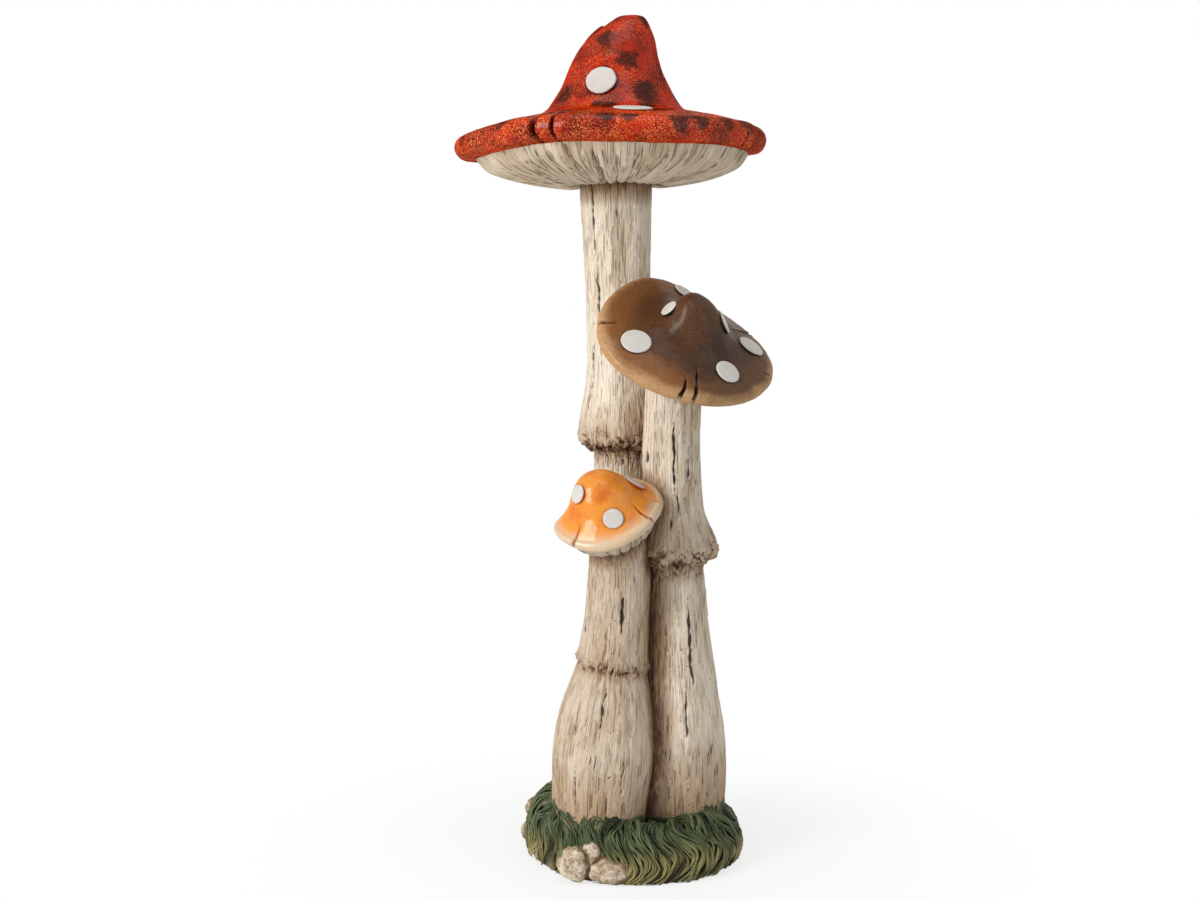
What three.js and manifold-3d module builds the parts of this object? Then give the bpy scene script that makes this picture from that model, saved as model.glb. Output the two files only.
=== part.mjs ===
// A garden statue: three toadstools of different heights stand together in a grassy mound, with pebbles
// in its edge. The pieces are cement castings, painted and lacquered. Each stem is hollow, and its spigot
// stands in a socket through the mound. Each cap closes over a ribbed gill plate, and a steel dowel ties
// both to the stem's head. The raised dots are discs bedded in pockets in the caps.
// Millimetres, +Z up, +X to the viewer's right, -Y towards the viewer. The origin is the middle of the
// flat underside.

import * as THREE from 'three';
import { mergeVertices } from 'three/addons/utils/BufferGeometryUtils.js';
import Module from 'manifold-3d';

const wasm = await Module();
wasm.setup();

// Fits and fixings shared by all three toadstools.
const mortarGap = 0.3;
const dowelRadius = 5;
const dowelInStem = 40;
const dowelInCap = 22;
const headThickness = 52;
const spigotWall = 6;
const spigotClearOfGround = 1;
const hubMargin = 2;

// The mound, and the height of the seats that the stems stand on. Its side runs through points of
// [share of the half width, share of the shoulder height], and inside middleShare of the half width the
// top is level. The tufts of grass sway by tuftSway degrees as they rise. The wobble is as a cap's.
const mound = {
  halfWidth: 105,
  halfDepth: 111,
  shoulderHeight: 53,
  middleHeight: 42,
  middleShare: 0.3,
  side: [[0.97, 0], [1, 0.3], [0.93, 0.72], [0.82, 0.93], [0.7, 1]],
  seatHeight: 20,
  leftRise: 4,
  frontFall: 5,
  tufts: 24,
  tuftDepth: 2.4,
  tuftSway: 5,
  wobble: [[2, 0.028, 45]],
};

// Pebbles in the mound's edge: where the middle of each one is, its size, and its turn in degrees.
const pebbles = [
  { name: 'pebble_front_left', at: [-55, -96], height: 17, width: 30, depth: 29, tall: 32, turn: 20 },
  { name: 'pebble_front_right', at: [-22, -101], height: 12.5, width: 40, depth: 26, tall: 27, turn: -8 },
  { name: 'pebble_front_middle', at: [-40, -95], height: 26, width: 22, depth: 20, tall: 21, turn: 35 },
  { name: 'pebble_side_low', at: [-96, 6], height: 17, width: 25, depth: 28, tall: 23, turn: 10 },
  { name: 'pebble_side_high', at: [-92, 24], height: 34, width: 24, depth: 28, tall: 22, turn: -25 },
];

// Stems. The axis leaves the foot straight upwards and meets the cap's gill plate square: lift and bend are
// the lengths of its handles there. Below and above the skirt, the ragged collar where the upper stem ends
// over the lower one, the outline runs through points of [distance up the axis, radius]. A lobe is [count
// round the stem, share of the radius, bearing in degrees of a crest], where the highest counts are the
// folds of the bark. Rag is how far the skirt's hem and collar wave up and down.
const tallStem = {
  name: 'tall_stem',
  foot: [-4, 44],
  lift: 230,
  bend: 230,
  boreRadius: 20,
  footRadius: 36,
  lower: [[16, 42], [60, 46], [130, 42], [200, 35], [285, 29]],
  skirt: { from: 372, lip: 12, neck: 28, radius: 43 },
  upper: [[408, 39.5], [436, 34], [470, 31.3], [545, 32.2], [600, 33.6]],
  headRadius: 34.5,
  lobes: [[3, 0.02, 20], [5, 0.015, 55], [7, 0.024, -12]],
  rag: 3,
  columns: 28,
};
const middleStem = {
  name: 'middle_stem',
  foot: [43, -12],
  lift: 230,
  bend: 40,
  boreRadius: 17,
  footRadius: 35,
  lower: [[16, 42], [60, 46], [105, 44], [150, 38], [200, 32]],
  skirt: { from: 264, lip: 11, neck: 27.5, radius: 42.5 },
  upper: [[289, 38.5], [307, 31.5], [330, 28.5], [390, 26.6]],
  headRadius: 27,
  lobes: [[3, 0.02, 70], [5, 0.024, 15]],
  rag: 3,
  columns: 20,
};
const shortStem = {
  name: 'short_stem',
  foot: [-31, -41],
  lift: 120,
  bend: 45,
  boreRadius: 16,
  footRadius: 36,
  lower: [[16, 43], [58, 47.5], [90, 49], [125, 44.5]],
  skirt: { from: 167, lip: 4, neck: 33.5, radius: 36 },
  upper: [[186, 33.4], [215, 31], [245, 30]],
  headRadius: 26.5,
  lobes: [[3, 0.02, 10], [5, 0.022, 40]],
  rag: 2.5,
  columns: 20,
};
const stemSteps = 6;
const ragTeeth = 7;

// Caps. A cap's own frame has its origin in the middle of its rim, rimHeight above the ground, and +Z along
// its axis. Forward tips it towards the viewer and side tips it to the right, in degrees. The crown is
// [radius, height], from the peak outwards, and the rim rolls round from it. A wave is [count round the
// rim, height, bearing in degrees of a crest], and a wobble is the same with a share of the radius. A dot's
// middle is out from the cap's axis or in from its rim.
const redCap = {
  name: 'red',
  stem: tallStem,
  at: [-17, 25],
  rimHeight: 683,
  forward: 1,
  side: -1,
  rimRadius: 148,
  rollRadius: 11.5,
  rollHeight: 3,
  crownHeight: 121,
  crown: [[14.5, 118.5], [31.5, 100], [40.8, 81], [48, 62], [58, 43], [69, 31], [92, 25], [115, 20.5]],
  bendFrom: 62,
  bendOver: 17,
  waves: [[2, 3.2, 0], [3, 1, -40], [5, 1, 45]],
  wobble: [[1, 0.028, -90], [3, 0.01, 30], [4, 0.008, 80]],
  seatRadius: 130,
  seatHeight: -2,
  gillEdge: -9.5,
  gillDish: [[121, -20], [106, -27.5], [85, -33.5], [62, -37.5], [48, -38]],
  gillHub: -34,
  ribs: 36,
  ribDepth: 5,
  columns: 38,
  splits: [
    { bearing: -31, length: 36, width: 9, depth: 15 },
    { bearing: -23, length: 26, width: 4, depth: 12 },
    { bearing: 56, length: 30, width: 4, depth: 12 },
    { bearing: 172, length: 30, width: 5, depth: 13 },
  ],
  dots: [
    { name: 'front', bearing: -14.5, out: 52, radius: 14.6 },
    { name: 'brim_front', bearing: 8, fromRim: 44, radius: 18 },
    { name: 'upper_left', bearing: -97, out: 27, radius: 12.5 },
    { name: 'right', bearing: 132, out: 50, radius: 13.5 },
    { name: 'brim_left', bearing: -128, fromRim: 44, radius: 16 },
    { name: 'back', bearing: 178, out: 52, radius: 14.5 },
    { name: 'brim_back', bearing: 142, fromRim: 42, radius: 16.5 },
  ],
};
const brownCap = {
  name: 'brown',
  stem: middleStem,
  at: [48.5, -58],
  rimHeight: 495,
  forward: 34,
  side: 27,
  rimRadius: 84,
  rollRadius: 7,
  rollHeight: -2,
  crownHeight: 47,
  crown: [[12, 45], [20, 38], [27, 28], [35, 18.5], [46, 12], [60, 8.5]],
  bendFrom: 14,
  bendOver: -10,
  waves: [[2, 7, 64], [3, 2.7, -8]],
  wobble: [[2, 0.045, -47], [3, 0.02, -53]],
  seatRadius: 72,
  seatHeight: -3,
  gillEdge: -9,
  gillDish: [[66, -14], [50, -18.5]],
  gillHub: -20.5,
  ribs: 24,
  ribDepth: 3.5,
  columns: 30,
  splits: [
    { bearing: 18, length: 38, width: 4.5, depth: 8 },
    { bearing: 9, length: 21, width: 4.5, depth: 8 },
    { bearing: -68, length: 15, width: 3, depth: 7 },
    { bearing: -117, length: 19, width: 3.2, depth: 7 },
    { bearing: 89, length: 11, width: 2.5, depth: 7 },
    { bearing: 141, length: 34, width: 3.2, depth: 7 },
  ],
  dots: [
    { name: 'left', bearing: -44, fromRim: 23, radius: 14 },
    { name: 'front', bearing: 54, fromRim: 31, radius: 12 },
    { name: 'right', bearing: 118, fromRim: 22, radius: 13 },
    { name: 'upper_left', bearing: -82, out: 28.5, radius: 8.5 },
    { name: 'back', bearing: -161, fromRim: 16, radius: 10.5 },
    { name: 'crown_right', bearing: 114, out: 25.5, radius: 10.5 },
  ],
};
const orangeCap = {
  name: 'orange',
  stem: shortStem,
  at: [-24.7, -62],
  rimHeight: 337,
  forward: 22.5,
  side: -19,
  rimRadius: 52.5,
  rollRadius: 5,
  rollHeight: -2,
  crownHeight: 44,
  crown: [[13, 41.5], [24, 31], [33, 17], [41, 8.5]],
  bendFrom: 15,
  bendOver: -2,
  waves: [[2, 4, -62], [3, 2.5, 38]],
  wobble: [[2, 0.01, -15], [3, 0.005, -38]],
  seatRadius: 42,
  seatHeight: -3,
  gillEdge: -7.5,
  gillDish: [[40, -17], [34, -24]],
  gillHub: -25,
  ribs: 18,
  ribDepth: 2.5,
  columns: 26,
  splits: [
    { bearing: -46, length: 18, width: 4.2, depth: 7 },
    { bearing: 47, length: 21, width: 4, depth: 7 },
    { bearing: 76, length: 11, width: 3, depth: 6 },
    { bearing: -150, length: 15, width: 2.5, depth: 6 },
  ],
  dots: [
    { name: 'front', bearing: 7, out: 36, radius: 9.3 },
    { name: 'left', bearing: -61, out: 20.5, radius: 8.8 },
    { name: 'right', bearing: 105, out: 33, radius: 11.5 },
    { name: 'back', bearing: -165, out: 33, radius: 9.5 },
  ],
};

const crownSteps = 7;
const dishSteps = 4;

// Dots stand this far proud of the cap, and reach this far into it.
const dot = { proud: 1.8, sunk: 6, edge: 0.9, columns: 10 };

// How deep the folds of the gills are as a share of ribDepth, and how far that varies round the plate.
const foldShare = { mean: 0.4, change: 0.15, changes: 5 };

const paint = {
  grass: new THREE.MeshStandardMaterial({ color: 0x46512b, roughness: 0.75, metalness: 0 }),
  pebble: new THREE.MeshStandardMaterial({ color: 0xb5a389, roughness: 0.8, metalness: 0 }),
  stem: new THREE.MeshStandardMaterial({ color: 0xbfae96, roughness: 0.85, metalness: 0 }),
  gill: new THREE.MeshStandardMaterial({ color: 0xb5a58c, roughness: 0.85, metalness: 0 }),
  red: new THREE.MeshStandardMaterial({ color: 0xa8321a, roughness: 0.25, metalness: 0 }),
  brown: new THREE.MeshStandardMaterial({ color: 0x6b4a30, roughness: 0.35, metalness: 0 }),
  orange: new THREE.MeshStandardMaterial({ color: 0xe07c24, roughness: 0.25, metalness: 0 }),
  white: new THREE.MeshStandardMaterial({ color: 0xdcd8d0, roughness: 0.5, metalness: 0 }),
  steel: new THREE.MeshStandardMaterial({ color: 0x8a8a88, roughness: 0.4, metalness: 1 }),
};

const weldReach = 1e-4;
const hair = 0.01;
const upward = new THREE.Vector3(0, 0, 1);
const radians = THREE.MathUtils.degToRad;

// The direction of a point round +Z: 0 towards the viewer, and a quarter turn to the viewer's right.
function bearingOf(point) {
  return Math.atan2(point.x, -point.y);
}

// The point at a bearing, in radians, and a distance from +Z.
function around(bearing, distance, height) {
  return new THREE.Vector3(distance * Math.sin(bearing), -distance * Math.cos(bearing), height);
}

// The sum of waves round a turned piece, each [count, size, bearing of a crest in degrees].
function waved(waves, bearing) {
  return waves.reduce(
    (sum, [count, size, crest]) => sum + size * Math.cos(count * (bearing - radians(crest))),
    0,
  );
}

// A geometry with its seams welded and the triangles that collapse there dropped.
function welded(geometry) {
  const bare = geometry.clone();
  bare.deleteAttribute('normal');
  bare.deleteAttribute('uv');
  const merged = mergeVertices(bare, weldReach);
  const corners = [];
  for (let i = 0; i < merged.index.count; i += 3) {
    const [a, b, c] = [0, 1, 2].map((k) => merged.index.getX(i + k));
    if (a !== b && b !== c && c !== a) corners.push(a, b, c);
  }
  merged.setIndex(corners);
  return merged;
}

// Moves each point of a geometry by a function that changes the Vector3 it is given.
function reshaped(geometry, move) {
  const position = geometry.getAttribute('position');
  const point = new THREE.Vector3();
  for (let i = 0; i < position.count; i += 1) {
    move(point.fromBufferAttribute(position, i));
    position.setXYZ(i, point.x, point.y, point.z);
  }
  return geometry;
}

// Turns an outline of [radius, height] about +Z, then reshapes it.
function turned(outline, columns, move = () => {}) {
  const points = outline.map(([radius, height]) => new THREE.Vector2(radius, height));
  const lathe = new THREE.LatheGeometry(points, columns).rotateX(Math.PI / 2);
  return reshaped(welded(lathe), move);
}

function solidOf(geometry) {
  const closed = welded(geometry);
  return new wasm.Manifold(new wasm.Mesh({
    numProp: 3,
    vertProperties: closed.getAttribute('position').array,
    triVerts: new Uint32Array(closed.index.array),
  }));
}

function geometryOf(solid) {
  const mesh = solid.getMesh();
  const geometry = new THREE.BufferGeometry();
  geometry.setAttribute('position', new THREE.BufferAttribute(mesh.vertProperties, 3));
  geometry.setIndex(new THREE.BufferAttribute(mesh.triVerts, 1));
  geometry.computeVertexNormals();
  return geometry;
}

function piece(name, solid, material) {
  const mesh = new THREE.Mesh(geometryOf(solid), material);
  mesh.name = name;
  return mesh;
}

// Points at even steps along a smooth line through [radius, height] stations.
function smooth(stations, count) {
  const line = new THREE.SplineCurve(stations.map(([radius, height]) => new THREE.Vector2(radius, height)));
  return line.getPoints(count).map((point) => [point.x, point.y]);
}

// The turn and place that carry a cap's own frame into the statue's.
function capFrame(cap) {
  const turn = new THREE.Quaternion().setFromEuler(
    new THREE.Euler(radians(cap.forward), radians(cap.side), 0, 'YXZ'),
  );
  return new THREE.Matrix4().makeRotationFromQuaternion(turn).setPosition(...cap.at, cap.rimHeight);
}

// A stem's axis, from its seat in the mound to the underside of its gill plate.
function stemAxis(cap) {
  const { foot, lift, bend } = cap.stem;
  const frame = capFrame(cap);
  const headHeight = cap.gillHub - mortarGap;
  return new THREE.CubicBezierCurve3(
    new THREE.Vector3(...foot, mound.seatHeight),
    new THREE.Vector3(...foot, mound.seatHeight + lift),
    new THREE.Vector3(0, 0, headHeight - bend).applyMatrix4(frame),
    new THREE.Vector3(0, 0, headHeight).applyMatrix4(frame),
  );
}

// The outside of a stem, as [radius, distance up the axis] from the foot to the head.
function stemOutline(stem, length) {
  const { skirt, lower, upper, footRadius, headRadius } = stem;
  const flip = ([height, radius]) => [radius, height];
  const hem = [skirt.neck, skirt.from - skirt.lip];
  const belowSkirt = smooth([[footRadius, 0], ...lower.map(flip), hem], stemSteps);
  const lipSteps = 3;
  const overhang = skirt.radius - skirt.neck;
  const lip = Array.from({ length: lipSteps + 1 }, (_, i) => {
    const turn = (i / lipSteps) * (Math.PI / 2);
    return [skirt.neck + overhang * Math.sin(turn), skirt.from + skirt.lip * (1 - Math.cos(turn))];
  });
  const aboveSkirt = smooth([lip.at(-1), ...upper.map(flip), [headRadius, length]], stemSteps).slice(1);
  return [...belowSkirt, ...lip, ...aboveSkirt];
}

// A stem as a solid in the statue's frame. Its bore is blind and opens at the foot. With grow it is instead
// the full body with that much added all round, to cut clearance in what it meets.
function stemSolid(cap, grow = 0) {
  const { stem } = cap;
  const axis = stemAxis(cap);
  const length = axis.getLength();
  const spigotRadius = stem.boreRadius + spigotWall;
  const spigotEnd = spigotClearOfGround - mound.seatHeight;
  const belowGround = -2 * mound.seatHeight;
  const skin = stemOutline(stem, length).map(([radius, height]) => [radius + grow, height]);
  const outline = grow > 0
    ? [
      [0, belowGround],
      [spigotRadius + grow, belowGround],
      [spigotRadius + grow, -grow],
      [skin[0][0], -grow],
      ...skin,
      [0, length],
    ]
    : [
      [0, length - headThickness],
      [stem.boreRadius, length - headThickness],
      [stem.boreRadius, spigotEnd],
      [spigotRadius, spigotEnd],
      [spigotRadius, 0],
      ...skin,
      [0, length],
    ];
  const place = new THREE.Vector3();
  const tangent = new THREE.Vector3();
  return solidOf(turned(outline, stem.columns, (point) => {
    const radius = Math.hypot(point.x, point.y);
    const bearing = bearingOf(point);
    const skinned = radius > spigotRadius + grow + hair ? 1 : 0;
    const fromLip = Math.abs(point.z - stem.skirt.from - stem.skirt.lip / 2) / (2 * stem.skirt.lip);
    const ragged = skinned * stem.rag * Math.max(0, 1 - fromLip);
    const height = point.z + ragged * Math.sin(ragTeeth * bearing + Math.cos(3 * bearing));
    const share = THREE.MathUtils.clamp(height / length, 0, 1);
    axis.getPointAt(share, place);
    axis.getTangentAt(share, tangent);
    const across = new THREE.Vector3(1, 0, 0).addScaledVector(tangent, -tangent.x).normalize();
    const back = new THREE.Vector3().crossVectors(tangent, across);
    const reach = radius * (1 + skinned * waved(stem.lobes, bearing));
    point.copy(place)
      .addScaledVector(across, reach * Math.sin(bearing))
      .addScaledVector(back, -reach * Math.cos(bearing))
      .addScaledVector(tangent, height - share * length);
  }));
}

// The outside of a cap as [radius, height], from the underside of its rolled rim over the brim to the peak.
function capOutline(cap) {
  const { rimRadius, rollRadius, rollHeight, crown, crownHeight } = cap;
  const rollSteps = 4;
  const rollCentre = rimRadius - rollRadius;
  const roll = Array.from({ length: rollSteps + 1 }, (_, i) => {
    const turn = (i / rollSteps - 0.5) * Math.PI;
    return [rollCentre + rollRadius * Math.cos(turn), rollHeight + rollRadius * Math.sin(turn)];
  });
  const brim = smooth([roll.at(-1), ...crown.toReversed(), [0, crownHeight]], crownSteps).slice(1);
  return [...roll, ...brim];
}

// The flat middle of a gill plate, where the stem's head meets it.
function hubRadius(cap) {
  return cap.stem.headRadius + hubMargin;
}

// Moves a point of a turned cap or gill plate: outside the hub the rim rises and falls, and the crown bends
// over at its top.
function sway(cap, point) {
  const pastHub = (Math.hypot(point.x, point.y) - hubRadius(cap)) / (cap.rimRadius - hubRadius(cap));
  const share = THREE.MathUtils.clamp(pastHub, 0, 1) ** 1.5;
  const bearing = bearingOf(point);
  const spread = 1 + share * waved(cap.wobble, bearing);
  const bent = Math.max(0, point.z - cap.bendFrom) / (cap.crownHeight - cap.bendFrom);
  point.x = point.x * spread + cap.bendOver * bent ** 2;
  point.y *= spread;
  point.z += share * waved(cap.waves, bearing);
  return point;
}

// The cap's skin at a distance from its axis: the point, and the way that the skin faces there.
function onCrown(cap, bearing, out) {
  const skin = capOutline(cap).filter(([, height]) => height > cap.rollHeight);
  const heightAt = (distance) => {
    const i = skin.findIndex(([radius]) => radius <= distance);
    const [outer, inner] = [skin[Math.max(1, i) - 1], skin[Math.max(1, i)]];
    const share = (distance - inner[0]) / (outer[0] - inner[0]);
    return THREE.MathUtils.lerp(inner[1], outer[1], share);
  };
  const at = (angle, distance) => sway(cap, around(angle, distance, heightAt(distance)));
  const step = 4;
  const place = at(bearing, out);
  const outward = at(bearing, out + step).sub(at(bearing, out - step));
  const sideways = at(bearing + step / out, out).sub(at(bearing - step / out, out));
  return { place, facing: outward.cross(sideways).normalize() };
}

// A wedge that opens towards the rim, to cut a split in the brim.
function splitCutter(cap, split) {
  const bearing = radians(split.bearing);
  const overshoot = 4;
  const tip = onCrown(cap, bearing, cap.rimRadius - split.length).place;
  const rim = sway(cap, around(bearing, cap.rimRadius + overshoot, cap.rollHeight + cap.rollRadius / 2));
  const wedge = new THREE.ConeGeometry(1, 1, 4).scale(split.width / 2, tip.distanceTo(rim), split.depth);
  wedge.translate(0, -tip.distanceTo(rim) / 2, 0);
  const along = tip.clone().sub(rim).normalize();
  const across = new THREE.Vector3().crossVectors(along, upward).normalize();
  const frame = new THREE.Matrix4().makeBasis(across, along, new THREE.Vector3().crossVectors(across, along));
  return solidOf(wedge.applyMatrix4(frame.setPosition(tip)));
}

// A dot, or with grow the pocket that it beds in, in its cap's frame.
function dotSolid(cap, spec, grow = 0) {
  const out = spec.out ?? cap.rimRadius - spec.fromRim;
  const { place, facing } = onCrown(cap, radians(spec.bearing), out);
  const radius = spec.radius + grow;
  const top = grow > 0 ? radius : dot.proud;
  const disc = turned([
    [0, -dot.sunk - grow],
    [radius, -dot.sunk - grow],
    [radius, top - dot.edge],
    [radius - dot.edge, top],
    [0, top],
  ], dot.columns);
  disc.applyQuaternion(new THREE.Quaternion().setFromUnitVectors(upward, facing));
  return solidOf(disc.translate(...place));
}

// The cap proper: crown, brim and rolled rim, with the seat of its gill plate underneath.
function capSolid(cap) {
  const outline = [
    [0, cap.seatHeight],
    [cap.seatRadius, cap.seatHeight],
    [cap.seatRadius, cap.gillEdge],
    ...capOutline(cap),
  ];
  const cutters = [
    dowelSolid(cap, mortarGap),
    ...cap.splits.map((split) => splitCutter(cap, split)),
    ...cap.dots.map((spec) => dotSolid(cap, spec, mortarGap)),
  ];
  const blank = solidOf(turned(outline, cap.columns, (point) => sway(cap, point)));
  return cutters.reduce((solid, cutter) => solid.subtract(cutter), blank);
}

// The gill plate: a flat back in the cap's seat, and a dished face with folded ribs round a flat hub. Its
// edge clears the flats of the seat, which is turned in fewer columns.
function gillSolid(cap) {
  const edge = cap.seatRadius * Math.cos(Math.PI / cap.columns) - mortarGap;
  const back = cap.seatHeight - mortarGap;
  const hub = hubRadius(cap);
  const dish = smooth([[hub, cap.gillHub], ...cap.gillDish.toReversed(), [edge, cap.gillEdge]], dishSteps);
  const outline = [[0, cap.gillHub], ...dish, [edge, back], [0, back]];
  const plate = solidOf(turned(outline, 2 * cap.ribs, (point) => {
    const radius = Math.hypot(point.x, point.y);
    const face = point.z < back - 1 && radius > hub + hair ? 1 : 0;
    const bearing = bearingOf(point);
    const share = foldShare.mean + foldShare.change * Math.cos(foldShare.changes * bearing);
    const fold = cap.ribDepth * share * Math.cos(cap.ribs * bearing);
    point.z -= face * fold * Math.min(1, (radius - hub) / hub);
    sway(cap, point);
  }));
  return plate.subtract(dowelSolid(cap, mortarGap));
}

// The steel dowel of a cap, in the cap's frame. With grow it is the socket that it fits.
function dowelSolid(cap, grow = 0) {
  const bevel = 0.8;
  const sides = 10;
  const radius = dowelRadius + grow;
  const foot = cap.gillHub - mortarGap - dowelInStem - grow;
  const top = cap.seatHeight + dowelInCap + grow;
  const bar = turned([
    [0, foot],
    [radius - bevel, foot],
    [radius, foot + bevel],
    [radius, top - bevel],
    [radius - bevel, top],
    [0, top],
  ], sides);
  return solidOf(bar);
}

// A pebble is a lumpy ellipsoid, cut off just above the ground. With grow it is the pocket that it sits in.
function pebbleSolid(spec, grow = 0) {
  const half = new THREE.Vector3(spec.width, spec.depth, spec.tall).divideScalar(2).addScalar(grow);
  const stone = reshaped(welded(new THREE.SphereGeometry(1, 9, 6)), (point) => {
    const across = Math.sin(3 * point.x + 2 * point.y + spec.turn);
    const upwards = Math.cos(4 * point.z + spec.turn);
    point.multiplyScalar(1 + 0.06 * across + 0.05 * upwards);
    point.multiply(half);
  });
  stone.rotateZ(radians(spec.turn)).translate(...spec.at, spec.height);
  if (grow > 0) return solidOf(stone);
  const groundSide = 4 * mound.halfDepth;
  const ground = new THREE.BoxGeometry(groundSide, groundSide, groundSide);
  ground.translate(0, 0, mortarGap - groundSide / 2);
  return solidOf(stone).subtract(solidOf(ground));
}

// The mound: a bulging ring of grass tufts round the sockets of the three stems, flat underneath.
function moundSolid(cutters) {
  const { halfWidth, halfDepth, shoulderHeight, middleHeight, middleShare } = mound;
  const sideSteps = 5;
  const side = smooth([
    ...mound.side.map(([outShare, upShare]) => [outShare * halfWidth, upShare * shoulderHeight]),
    [middleShare * halfWidth, middleHeight],
  ], sideSteps);
  const grass = turned([[0, 0], ...side, [0, middleHeight]], 2 * mound.tufts, (point) => {
    const risen = Math.min(1, point.z / shoulderHeight);
    const tuft = Math.cos(mound.tufts * bearingOf(point)) + 0.6 * Math.cos(5 * bearingOf(point) + 1);
    point.applyAxisAngle(upward, radians(mound.tuftSway) * Math.sin(Math.PI * risen));
    const bearing = bearingOf(point);
    const spread = 1 + (risen * mound.tuftDepth * tuft) / halfWidth + waved(mound.wobble, bearing);
    point.x *= spread;
    point.y *= spread * (halfDepth / halfWidth);
    const slope = -mound.leftRise * Math.sin(bearing) - mound.frontFall * Math.cos(bearing);
    const level = 2 * middleShare * halfWidth;
    const outwards = Math.min(1, Math.hypot(point.x, point.y) / level);
    point.z += risen * outwards * (slope + mound.tuftDepth * tuft);
  });
  return cutters.reduce((solid, cutter) => solid.subtract(cutter), solidOf(grass));
}

const caps = [redCap, brownCap, orangeCap];
const grownStems = new Map(caps.map((cap) => [cap, stemSolid(cap, mortarGap)]));

// A cap's group: its own pieces in its own frame, cut clear of the stems that stand against it.
function capGroup(cap, against) {
  const frame = capFrame(cap);
  const intoCap = frame.clone().invert();
  const clear = (solid) => against.reduce(
    (rest, other) => rest.subtract(grownStems.get(other).transform(intoCap.toArray())),
    solid,
  );
  const group = new THREE.Group();
  group.applyMatrix4(frame);
  group.add(piece(cap.name + '_cap', clear(capSolid(cap)), paint[cap.name]));
  group.add(piece(cap.name + '_gills', clear(gillSolid(cap)), paint.gill));
  group.add(piece(cap.name + '_dowel', dowelSolid(cap), paint.steel));
  cap.dots.forEach((spec) => {
    group.add(piece(cap.name + '_dot_' + spec.name, dotSolid(cap, spec), paint.white));
  });
  return group;
}

// Where stems press together the one in front keeps its shape, and those behind it are cut clear.
function stemPieces() {
  const frontToBack = [orangeCap, brownCap, redCap];
  return frontToBack.map((cap, i) => {
    const inFront = frontToBack.slice(0, i).map((other) => grownStems.get(other));
    const socket = dowelSolid(cap, mortarGap).transform(capFrame(cap).toArray());
    const solid = [socket, ...inFront].reduce((rest, other) => rest.subtract(other), stemSolid(cap));
    return piece(cap.stem.name, solid, paint.stem);
  });
}

function pebblePieces() {
  return pebbles.map((spec, i) => {
    const before = pebbles.slice(0, i).map((other) => pebbleSolid(other, mortarGap));
    const solid = before.reduce((rest, other) => rest.subtract(other), pebbleSolid(spec));
    return piece(spec.name, solid, paint.pebble);
  });
}

const statue = new THREE.Group();
const sockets = [...grownStems.values(), ...pebbles.map((spec) => pebbleSolid(spec, mortarGap))];
statue.add(piece('grass_mound', moundSolid(sockets), paint.grass));
statue.add(...pebblePieces());
statue.add(...stemPieces());
statue.add(capGroup(redCap, []));
statue.add(capGroup(brownCap, [redCap]));
statue.add(capGroup(orangeCap, [redCap, brownCap]));

export default statue;
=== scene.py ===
# Mushroom garden statue: three toadstools in a grassy mound, cast in cement, painted and varnished.
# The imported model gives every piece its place. The statue's dictionaries are in mm, all else is in metres.
from math import asin, atan2, cos, pi, radians, sin

import bmesh
import bpy
import numpy as np
from mathutils import Euler, Matrix, Vector, noise
from mathutils.bvhtree import BVHTree


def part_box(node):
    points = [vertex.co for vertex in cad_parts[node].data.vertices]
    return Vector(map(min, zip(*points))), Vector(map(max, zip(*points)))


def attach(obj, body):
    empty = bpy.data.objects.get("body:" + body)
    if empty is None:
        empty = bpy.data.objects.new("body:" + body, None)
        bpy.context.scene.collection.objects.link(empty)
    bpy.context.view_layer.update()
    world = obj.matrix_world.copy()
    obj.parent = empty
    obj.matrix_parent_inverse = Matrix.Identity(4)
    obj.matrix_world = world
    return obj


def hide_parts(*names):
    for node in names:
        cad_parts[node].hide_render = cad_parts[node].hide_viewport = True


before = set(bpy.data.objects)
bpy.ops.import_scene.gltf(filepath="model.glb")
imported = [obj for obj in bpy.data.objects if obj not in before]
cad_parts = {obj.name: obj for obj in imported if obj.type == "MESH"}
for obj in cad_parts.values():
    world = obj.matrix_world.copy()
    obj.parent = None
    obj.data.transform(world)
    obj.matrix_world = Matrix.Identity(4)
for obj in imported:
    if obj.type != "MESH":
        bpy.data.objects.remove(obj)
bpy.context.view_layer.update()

mm = 0.001


# Node wiring, for geometry and shader trees alike.

def addNode(tree, kind, sockets=None, **settings):
    node = tree.nodes.new(kind)
    for name, value in settings.items():
        setattr(node, name, value)
    for key, value in (sockets or {}).items():
        if isinstance(value, bpy.types.NodeSocket):
            tree.links.new(value, node.inputs[key])
        else:
            node.inputs[key].default_value = value
    return node


def calc(tree, operation, *values):
    return addNode(tree, "ShaderNodeMath", dict(enumerate(values)), operation=operation).outputs[0]


def plus(tree, first, second):
    return calc(tree, "ADD", first, second)


def minus(tree, first, second):
    return calc(tree, "SUBTRACT", first, second)


def over(tree, first, second):
    return calc(tree, "DIVIDE", first, second)


def times(tree, *values):
    product = values[0]
    for value in values[1:]:
        product = calc(tree, "MULTIPLY", product, value)
    return product


def vectorCalc(tree, operation, *values):
    node = addNode(tree, "ShaderNodeVectorMath", dict(enumerate(values)), operation=operation)
    return node.outputs["Value" if operation == "LENGTH" else "Vector"]


def scaled(tree, vector, amount):
    return addNode(tree, "ShaderNodeVectorMath", {0: vector, "Scale": amount}, operation="SCALE").outputs[0]


def joined(tree, *parts):
    return addNode(tree, "ShaderNodeCombineXYZ", dict(enumerate(parts))).outputs[0]


def partsOf(tree, vector):
    return addNode(tree, "ShaderNodeSeparateXYZ", {0: vector}).outputs


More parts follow.
